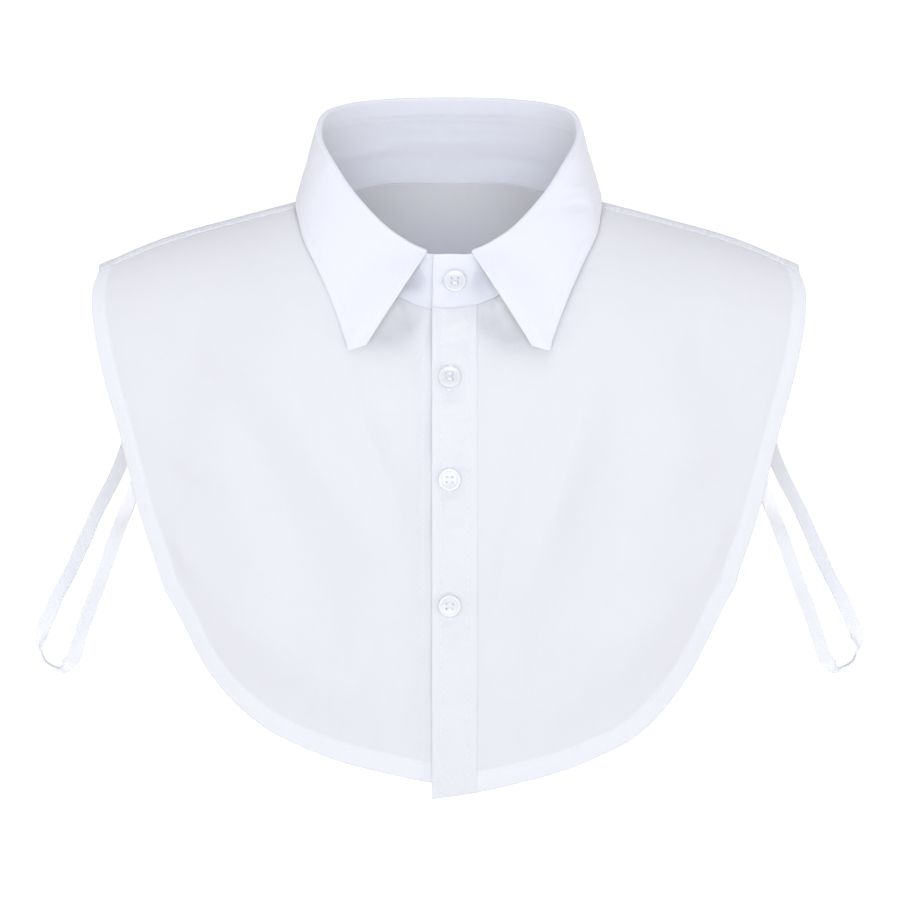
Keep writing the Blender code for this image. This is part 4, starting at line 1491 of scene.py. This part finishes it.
def leaf_grid(cloth_set):
    hook_share, arc_share = 0.06, 0.28

    def face(u, v):
        return leaf_face(near_ends(u, LEAF_CROWDING), v, hook_share, arc_share)

    close = np.linspace(0, 0.012, 9)
    columns = np.concatenate([close, np.linspace(0.012, 0.988, 400)[1:-1], 1 - close[::-1]])
    rows = np.concatenate([
        np.linspace(0, hook_share, 5)[:-1], np.linspace(hook_share, arc_share, 18)[:-1],
        np.linspace(arc_share, 0.86, 34)[:-1], np.linspace(0.86, 1, 20),
    ])
    grid = Grid(face, columns, rows)
    grid.uv = flat_strip(grid)
    grid.doubled[:] = 1.0
    lower = face(np.linspace(0, 1, 420), np.ones(420))
    ends = [face(np.full(60, u), np.linspace(0, 1, 60)) for u in (0.0, 1.0)]
    low_gap, low_along = from_line(grid.base, lower)
    end_gaps = [from_line(grid.base, line) for line in ends]
    falling = ease(grid.t, arc_share, 0.08)
    angle = LEAF_END_ANGLE + near_ends(grid.s, LEAF_CROWDING) * (360 - 2 * LEAF_END_ANGLE)
    creases = round_and_up(LEAF_CREASES, angle, low_gap)
    ripple = 0.25 * np.exp(-low_gap / 14.0) * wander(low_along, 46.0, 0.6)
    grid.lift += (cloth_set.leaf_creases * creases + ripple) * falling
    # Low down at the front the leaf lies on the folds of the cloth below
    rows = FRONT_CREASES
    lines = list(lines_of(rows, ("high_x", "high_z"), ("low_x", "low_z")))
    folds = crease_height(lines, grid.base[..., 0], grid.base[..., 2], rows["bend"])
    lying = ease(grid.t, 0.8, 0.2) * (1 - ease(ring_angle(angle), 60.0, 25.0))
    grid.lift += cloth_set.front_creases * folds * lying
    at = cloth_set.leaf_inset
    nearest = np.minimum(low_gap, np.minimum(end_gaps[0][0], end_gaps[1][0]))
    for gap, along, turn in ((low_gap, low_along, 0.0), (*end_gaps[0], 1.0), (*end_gaps[1], 2.0)):
        others = np.where(nearest > at - 0.8, 1.0, 0.0)
        groove = -0.17 * np.exp(-(((gap - at) / 0.75) ** 2)) * others
        pucker = 0.07 * np.exp(-(((gap - at) / 3.2) ** 2)) * wander(along, 6.5, turn)
        grid.lift += (groove + pucker) * falling
    grid.round_edge(nearest, 2.0, 0.6)
    thread = Thread()
    past_fold = grid.t > arc_share + 0.02
    clear = np.minimum(end_gaps[0][0], end_gaps[1][0]) > at
    thread.run(*contour(grid, low_gap - at, 0.0, clear & past_fold))
    for gap, _ in end_gaps:
        thread.run(*contour(grid, gap - at, 0.0, (low_gap > at) & past_fold, False))
    return grid, thread


# Buttonholes, buttons and elastic


def button_seat(row):
    """Where a button sits: a point on the cloth, and the directions out, right and up."""
    x, z, carrier = row
    fall = fall_at_level(x, z, 1)
    seat, out = cloth(x, fall, PLACKET_LIFT), outward(np.array(x), fall)
    if carrier == "stand":
        angle = np.array([math.degrees(math.asin(x / NECK_HALF_WIDTH))])
        foot, top = stand_foot(angle)[0], stand_top(angle)[0]
        rise = top - foot
        out = np.array([0, -rise[2], rise[1]])
        out /= np.linalg.norm(out)
        seat = foot + rise * (z - foot[2]) / rise[2] + out * STAND_BOW
    right = np.cross(out, [0, 0, -1.0])
    right /= np.linalg.norm(right)
    return np.asarray(seat), out, right, np.cross(out, right)


def buttonhole(thread, row, buttons_set):
    """Satin stitches side by side down both sides of a slit, with a bar across each end."""
    seat, out, right, up = button_seat(row)
    if row[2] == "stand":
        seat = seat - right * 1.6
        right, up = up, -right
    half = buttons_set.slit / 2
    count = int(buttons_set.slit / 0.42)
    for side in (-1, 1):
        for k in range(count + 1):
            level = -half + buttons_set.slit * k / count
            shift = 0.04 * math.sin(2.3 * k + side)
            place = seat + up * (level + shift) + right * side * 0.95 + out * 0.10
            thread.add([place], [right], [out], 1.45, 0.46)
    for end in (-1, 1):
        for k in range(4):
            place = seat + up * end * (half + 0.1 + 0.32 * k) + out * 0.12
            thread.add([place], [right], [out], 3.3 - 0.25 * k, 0.46)


def button_piece(name, row, buttons_set, material):
    """A four-hole button: a turned blank with a rounded rim and a dished face, then drilled."""
    half, thick = buttons_set.width / 2, buttons_set.thickness
    rim, dish = buttons_set.rim, buttons_set.dish
    profile = (
        (0.0, thick - dish), (half - rim - 0.9, thick - dish), (half - rim - 0.35, thick - 0.8 * dish),
        (half - rim + 0.1, thick - 0.25 * dish), (half - rim + 0.45, thick - 0.02),
        (half - 0.62, thick), (half - 0.25, thick - 0.16), (half - 0.04, thick - 0.5),
        (half, thick - 0.95), (half - 0.15, 0.55), (half - 0.7, 0.15), (half - 1.6, 0.0), (0.0, 0.0),
    )
    bm = bmesh.new()
    verts = [bm.verts.new((radius, 0, height)) for radius, height in profile]
    edges = [bm.edges.new(pair) for pair in zip(verts[:-1], verts[1:])]
    bmesh.ops.spin(bm, geom=verts + edges, cent=(0, 0, 0), axis=(0, 0, 1),
                   angle=2 * math.pi, steps=56, use_merge=True)
    bmesh.ops.remove_doubles(bm, verts=bm.verts, dist=0.001)
    bmesh.ops.recalc_face_normals(bm, faces=bm.faces)
    seat, out, right, up = button_seat(row)
    turn = Matrix((right, up, out)).transposed().to_4x4()
    place = Vector(seat) + Vector(out) * buttons_set.lift
    bore = bmesh.new()
    for i in (-1, 1):
        for j in (-1, 1):
            made = bmesh.ops.create_cone(bore, cap_ends=True, segments=20,
                                         radius1=buttons_set.hole / 2,
                                         radius2=buttons_set.hole / 2, depth=3 * thick)
            shift = (i * buttons_set.pitch / 2, j * buttons_set.pitch / 2, 0)
            bmesh.ops.translate(bore, vec=shift, verts=made["verts"])
    for part in (bm, bore):
        bmesh.ops.transform(part, matrix=turn, verts=part.verts)
        bmesh.ops.translate(part, vec=place, verts=part.verts)
    blank = finish_mesh(name + "_blank", bm, material)
    drill = finish_mesh(name + "_drill", bore, material)
    cut = blank.modifiers.new("holes", "BOOLEAN")
    cut.object, cut.operation, cut.solver = drill, "DIFFERENCE", "EXACT"
    seen = bpy.context.evaluated_depsgraph_get()
    mesh = bpy.data.meshes.new_from_object(blank.evaluated_get(seen))
    for item in (blank, drill):
        bpy.data.objects.remove(item, do_unlink=True)
    mesh.name = name
    mesh.shade_smooth()
    mesh.set_sharp_from_angle(angle=math.radians(38))
    item = link(name, mesh)
    soft = item.modifiers.new("hole_edges", "BEVEL")
    soft.width, soft.segments = 0.12 * MM, 2
    soft.limit_method, soft.angle_limit = "ANGLE", math.radians(50)
    return item


def button_thread(thread, row, buttons_set):
    """Two level bars of thread across the holes, a few strands each, and their sunk ends."""
    seat, out, right, up = button_seat(row)
    face = buttons_set.lift + buttons_set.thickness - buttons_set.dish
    half = buttons_set.pitch / 2
    for level in (-half, half):
        for k in range(4):
            aside = (k - 1.5) * 0.28
            high = 0.20 + 0.10 * (k % 2)
            place = seat + up * (level + aside) + out * (face + high)
            way = right + up * 0.05 * (k - 1.5)
            thread.add([place], [way / np.linalg.norm(way)], [out],
                       buttons_set.pitch + 1.1, 0.46)
        for side in (-half, half):
            place = seat + up * level + right * side + out * (face - 0.45)
            thread.add([place], [out], [right], 1.5, 1.1)


def band_grid(side, elastic_set):
    count = 260
    path, width = band_path(side, count)
    rows = np.linspace(0, 1, count)
    uneven = 1 + 0.025 * np.sin(rows * 47) + 0.02 * np.sin(rows * 83 + side)

    def face(s, t):
        row = np.rint(t * (count - 1)).astype(int)
        reach = (s - 0.5) * elastic_set.width
        return path[row] + width[row] * (reach * uneven[row])[..., None]

    columns = np.linspace(0, 1, elastic_set.ribs * 4 + 1)
    grid = Grid(face, columns, rows)
    # The rubber cords show as low ridges along the band
    cords = 0.5 - 0.5 * np.cos(2 * math.pi * elastic_set.ribs * grid.s)
    grid.thickness = 0.93 + 0.07 * cords
    length = np.concatenate([[0], np.cumsum(np.linalg.norm(np.diff(path, axis=0), axis=1))])
    across = grid.s * elastic_set.width
    grid.uv = np.stack([across, np.broadcast_to(length, across.shape)], axis=-1)
    return grid


def band_tacks(thread, grid):
    """A close zigzag across each sewn end of a band, on its inner face."""
    points = grid.points()
    last = points.shape[0] - 1
    for start, step in ((2, 1), (points.shape[1] - 3, -1)):
        for k in range(9):
            row = start + step * (k // 3) * 2
            place = points[round(last * (0.15 + 0.35 * (k % 3))), row]
            across = points[-1, row] - points[0, row]
            across /= np.linalg.norm(across)
            along = points[0, row + step] - points[0, row]
            along /= np.linalg.norm(along)
            out = np.cross(across, along)
            for lean in (-1, 1):
                way = along + across * lean * 0.9
                way /= np.linalg.norm(way)
                for face_side in (-1, 1):
                    thread.add([place + out * face_side * 0.55], [way], [out], 2.4, 0.42)


# The add-on


def length(name, description, value):
    """A length setting in metres, given here in millimetres."""
    return FloatProperty(name=name, description=description, default=value * MM, min=0.0,
                         unit="LENGTH", precision=4)


def colour(name, description, value):
    return FloatVectorProperty(name=name, description=description, default=value, size=3,
                               min=0.0, max=1.0, subtype="COLOR")


def factor(name, description, value):
    return FloatProperty(name=name, description=description, default=value, min=0.0, max=4.0,
                         subtype="FACTOR")


class ClothSettings(bpy.types.PropertyGroup):
    front_columns: IntProperty(
        name="Front columns", description="Columns of points across each front",
        default=110, min=40, max=300)
    back_columns: IntProperty(
        name="Back columns", description="Columns of points across the back",
        default=200, min=60, max=400)
    front_creases: factor("Front creases", "Strength of the fronts' own folds", 1.6)
    back_creases: factor("Back creases", "Strength of the back's small folds", 2.2)
    placket_creases: factor("Placket creases", "Strength of the pulls on the placket", 1.0)
    stand_creases: factor("Stand creases", "Strength of the stand's creases", 2.2)
    leaf_creases: factor("Leaf creases", "Strength of the leaf's creases", 1.5)
    panel_wall: length("Panel cloth", "Thickness of the cloth of the fronts and the back", 0.85)
    placket_wall: length("Placket", "Thickness of the folded placket", 1.15)
    collar_wall: length("Collar", "Thickness of the interlined stand and leaf", 1.15)
    hem_bottom: length("Hem at the bottom", "Width of the turned hem at its lowest point", 11.0)
    hem_shoulder: length("Hem at the shoulder", "Width of the turned hem at the shoulder", 7.8)
    hem_rise: length("Hem rise", "How far the turned hem stands up", 0.34)
    stitch_inset: length("Hem stitch inset", "From the hem's inner fold to its stitching", 1.1)
    facing_edge: length("Facing", "Where the left front's facing ends, from the middle", 13.8)
    fell_width: length("Shoulder seam", "Width of the felled shoulder seam", 6.4)
    placket_inset: length("Placket stitching", "From the placket's edge to its stitching", 4.7)
    leaf_inset: length("Leaf stitching", "From the leaf's edge to its stitching", 4.6)
    weave: length("Weave", "Pitch of the plain weave's threads", 0.46)
    panel_colour: colour("Panel", "One layer of shirting cotton", (0.728, 0.728, 0.738))
    # Doubled cloth, whiter than one layer: the step is partly painted shade, and this colour also paints
    # light on the back below the neck
    double_and_painted_light_colour: colour("Doubled cloth", "Where the shirting is turned double",
                          (0.778, 0.78, 0.797))
    collar_colour: colour("Collar", "The stand and the leaf", (0.772, 0.775, 0.815))
    thread_colour: colour("Thread", "Sewing thread", (0.82, 0.823, 0.85))


class ButtonSettings(bpy.types.PropertyGroup):
    width: length("Width", "Diameter of a button", 11.5)
    thickness: length("Thickness", "Thickness of a button", 2.4)
    dish: length("Dish", "Depth of the dished middle", 0.4)
    rim: length("Rim", "Width of the raised rim", 1.5)
    hole: length("Hole", "Diameter of a hole", 1.2)
    pitch: length("Hole pitch", "From hole to hole", 2.6)
    lift: length("Shank", "Height of the button over the cloth", 0.35)
    slit: length("Buttonhole", "Length of a buttonhole", 11.0)
    pearl: colour("Button", "White pearl plastic", (0.735, 0.74, 0.755))


class ElasticSettings(bpy.types.PropertyGroup):
    width: length("Width", "Width of a band", 7.0)
    wall: length("Thickness", "Thickness of a band", 1.1)
    ribs: IntProperty(name="Cords", description="Cords of rubber across a band",
                      default=7, min=3, max=15)
    yarn: colour("Band", "White woven elastic", (0.88, 0.885, 0.90))


class StageSettings(bpy.types.PropertyGroup):
    floor_level: FloatProperty(
        name="Floor", description="Level of the floor below the collar", default=-1.0,
        unit="LENGTH")
    floor_colour: colour("Floor colour", "Pale studio floor", (0.62, 0.62, 0.62))
    sky_colour: colour("Sky colour", "Tint of the even light all round", (0.95, 0.975, 1.0))
    floor_glow: FloatProperty(name="Floor glow", description="Light given off by the floor",
                              default=1.5, min=0.0, max=3.0)
    sky: FloatProperty(name="Sky", description="Strength of the even light all round",
                       default=0.405, min=0.0, max=3.0)
    key: FloatProperty(name="Key light", description="Power of the light in front",
                       default=40.0, min=0.0, unit="POWER")


def in_mm(settings):
    """A plain copy of a group of settings, with its lengths in millimetres."""
    plain = SimpleNamespace()
    for key, kind in settings.bl_rna.properties.items():
        if key in ("rna_type", "name"):
            continue
        value = getattr(settings, key)
        if kind.type == "FLOAT" and kind.is_array:
            value = tuple(value)
        elif kind.type == "FLOAT" and kind.unit == "LENGTH":
            value = value / MM
        setattr(plain, key, value)
    return plain


def kept(make, name, *values):
    """The material of this name, made if it isn't there yet."""
    return bpy.data.materials.get(name) or make(name, *values)


def shirting(cloth_set):
    return kept(cloth_material, "white_shirting", cloth_set.panel_colour,
                cloth_set.double_and_painted_light_colour, cloth_set.weave, 0.035)


def collar_cotton(cloth_set):
    return kept(cloth_material, "collar_cotton_twill", cloth_set.collar_colour,
                cloth_set.collar_colour, cloth_set.weave, 0.035)


def sewing_thread(cloth_set):
    return kept(thread_material, "sewing_thread", cloth_set.thread_colour)


def sewn_piece(node, grid, thread, wall, cloth_finish, slot, cloth_set):
    """A cloth piece for a CAD node, with its stitches, declared as a sheet."""
    item = cloth_piece(node + "_cloth", grid, wall, cloth_finish)
    declare(item, slot, node)
    stitches = thread.build(node + "_stitches", sewing_thread(cloth_set))
    declare(stitches, slot)
    declare_sheet(item, grid)
    return item


class COLLAR_OT_fronts(bpy.types.Operator):
    """Make the two hemmed front panels"""

    bl_idname = "collar.fronts"
    bl_label = "Fronts"

    def execute(self, context):
        cloth_set = in_mm(context.scene.collar_cloth)
        for side, node, under in ((-1, "front_left", ["stand_cloth"]),
                                  (1, "front_right", ["front_left_cloth", "stand_cloth"])):
            grid, thread = front_grid(side, cloth_set)
            sewn_piece(node, grid, thread, cloth_set.panel_wall, shirting(cloth_set),
                       "panel_cotton", cloth_set)
        return {"FINISHED"}


class COLLAR_OT_back(bpy.types.Operator):
    """Make the hemmed back panel with its felled shoulder seams"""

    bl_idname = "collar.back"
    bl_label = "Back"

    def execute(self, context):
        cloth_set = in_mm(context.scene.collar_cloth)
        grid, thread = back_grid(cloth_set)
        sewn_piece("back", grid, thread, cloth_set.panel_wall, shirting(cloth_set),
                   "panel_cotton", cloth_set)
        return {"FINISHED"}


class COLLAR_OT_placket(bpy.types.Operator):
    """Make the placket with its two rows of stitching"""

    bl_idname = "collar.placket"
    bl_label = "Placket"

    def execute(self, context):
        cloth_set = in_mm(context.scene.collar_cloth)
        grid, thread = placket_grid(cloth_set)
        sewn_piece("placket", grid, thread, cloth_set.placket_wall, shirting(cloth_set),
                   "panel_cotton", cloth_set)
        return {"FINISHED"}


class COLLAR_OT_stand(bpy.types.Operator):
    """Make the collar's stand"""

    bl_idname = "collar.stand"
    bl_label = "Stand"

    def execute(self, context):
        cloth_set = in_mm(context.scene.collar_cloth)
        grid, thread = stand_grid(cloth_set)
        sewn_piece("stand", grid, thread, cloth_set.collar_wall, collar_cotton(cloth_set),
                   "collar_cotton", cloth_set)
        return {"FINISHED"}


class COLLAR_OT_leaf(bpy.types.Operator):
    """Make the collar's leaf, folded over the stand"""

    bl_idname = "collar.leaf"
    bl_label = "Leaf"

    def execute(self, context):
        cloth_set = in_mm(context.scene.collar_cloth)
        grid, thread = leaf_grid(cloth_set)
        sewn_piece("leaf", grid, thread, cloth_set.collar_wall, collar_cotton(cloth_set),
                   "collar_cotton", cloth_set)
        return {"FINISHED"}


class COLLAR_OT_buttonholes(bpy.types.Operator):
    """Make the satin-stitched buttonholes"""

    bl_idname = "collar.buttonholes"
    bl_label = "Buttonholes"

    def execute(self, context):
        scene = context.scene
        cloth_set, buttons_set = in_mm(scene.collar_cloth), in_mm(scene.collar_buttons)
        thread = Thread()
        for row in BUTTONS:
            buttonhole(thread, row, buttons_set)
        item = thread.build("buttonhole_stitches", sewing_thread(cloth_set))
        declare(item, "panel_cotton")
        return {"FINISHED"}


class COLLAR_OT_buttons(bpy.types.Operator):
    """Make the four-hole buttons and the thread that holds them"""

    bl_idname = "collar.buttons"
    bl_label = "Buttons"

    def execute(self, context):
        scene = context.scene
        cloth_set, buttons_set = in_mm(scene.collar_cloth), in_mm(scene.collar_buttons)
        pearl = kept(button_material, "button_pearl", buttons_set.pearl)
        thread = Thread()
        for number, row in enumerate(BUTTONS, 1):
            item = button_piece(f"button_{number}_pearl", row, buttons_set, pearl)
            declare(item, "button", f"button_{number}")
            button_thread(thread, row, buttons_set)
        item = thread.build("button_threads", sewing_thread(cloth_set))
        declare(item, "button")
        return {"FINISHED"}


class COLLAR_OT_elastics(bpy.types.Operator):
    """Make the two elastic bands, sewn inside the panels at both ends"""

    bl_idname = "collar.elastics"
    bl_label = "Elastics"

    def execute(self, context):
        scene = context.scene
        elastic_set = in_mm(scene.collar_elastic)
        finish = kept(elastic_material, "woven_elastic", elastic_set.yarn, elastic_set.ribs,
                      elastic_set.width)
        thread_finish = sewing_thread(in_mm(scene.collar_cloth))
        for side, node in ((-1, "elastic_left"), (1, "elastic_right")):
            grid = band_grid(side, elastic_set)
            item = cloth_piece(node + "_band", grid, elastic_set.wall, finish, offset=0.0)
            declare(item, "elastic", node)
            thread = Thread()
            band_tacks(thread, grid)
            tacks = thread.build(node + "_tacks", thread_finish)
            declare(tacks, "elastic")
        return {"FINISHED"}


class COLLAR_OT_stage(bpy.types.Operator):
    """Make the studio: floor, light and camera"""

    bl_idname = "collar.stage"
    bl_label = "Studio"

    def execute(self, context):
        stage_set = context.scene.collar_stage
        bm = bmesh.new()
        bmesh.ops.create_circle(bm, cap_ends=True, segments=96, radius=FLOOR_RADIUS)
        bmesh.ops.translate(bm, vec=(0, 0, stage_set.floor_level / MM), verts=bm.verts)
        floor = finish_mesh("studio_floor", bm, stage_material(
            "studio_floor_paper", tuple(stage_set.floor_colour), stage_set.floor_glow))
        world = bpy.data.worlds.new("studio")
        world.use_nodes = True
        sky = world.node_tree.nodes["Background"].inputs
        sky["Color"].default_value = (*stage_set.sky_colour, 1)
        sky["Strength"].default_value = stage_set.sky
        context.scene.world = world
        # Clean whites, as in a product photograph
        context.scene.view_settings.view_transform = "Standard"
        for name, place, size, power, tint in LIGHTS:
            data = bpy.data.lights.new(name, "AREA")
            data.shape = "RECTANGLE"
            data.size, data.size_y = size
            data.energy = power * stage_set.key
            data.color = tint
            lamp = bpy.data.objects.new(name, data)
            lamp.location = place
            aim = Vector(LIGHTS_AIM) - Vector(place)
            lamp.rotation_euler = aim.to_track_quat("-Z", "Y").to_euler()
            lamp.visible_camera = False
            context.scene.collection.objects.link(lamp)
        lens = bpy.data.cameras.new("camera")
        lens.angle = math.radians(CAMERA_ANGLE)
        lens.clip_end = 200.0
        camera = bpy.data.objects.new("camera", lens)
        camera.location = CAMERA_PLACE
        camera.rotation_euler = (math.radians(CAMERA_TILT), 0, 0)
        context.scene.collection.objects.link(camera)
        context.scene.camera = camera
        return {"FINISHED"}


PIECE_OPERATORS = (
    COLLAR_OT_stage, COLLAR_OT_fronts, COLLAR_OT_back, COLLAR_OT_placket, COLLAR_OT_stand,
    COLLAR_OT_leaf, COLLAR_OT_buttonholes, COLLAR_OT_buttons, COLLAR_OT_elastics,
)


class COLLAR_PT_pieces(bpy.types.Panel):
    """Lists the collar's pieces"""

    bl_idname = "COLLAR_PT_pieces"
    bl_label = "Detachable collar"
    bl_space_type = "VIEW_3D"
    bl_region_type = "UI"
    bl_category = "Collar"

    def draw(self, context):
        for operator in PIECE_OPERATORS:
            self.layout.operator(operator.bl_idname)


SETTINGS = {
    "collar_cloth": ClothSettings,
    "collar_buttons": ButtonSettings,
    "collar_elastic": ElasticSettings,
    "collar_stage": StageSettings,
}
CLASSES = (*SETTINGS.values(), *PIECE_OPERATORS, COLLAR_PT_pieces)


def register():
    for item in CLASSES:
        bpy.utils.register_class(item)
    for name, group in SETTINGS.items():
        setattr(bpy.types.Scene, name, PointerProperty(type=group))


def unregister():
    for name in SETTINGS:
        delattr(bpy.types.Scene, name)
    for item in reversed(CLASSES):
        bpy.utils.unregister_class(item)


def main():
    register()
    for operator in PIECE_OPERATORS:
        group, name = operator.bl_idname.split(".")
        getattr(getattr(bpy.ops, group), name)()


if __name__ == "__main__":
    main()
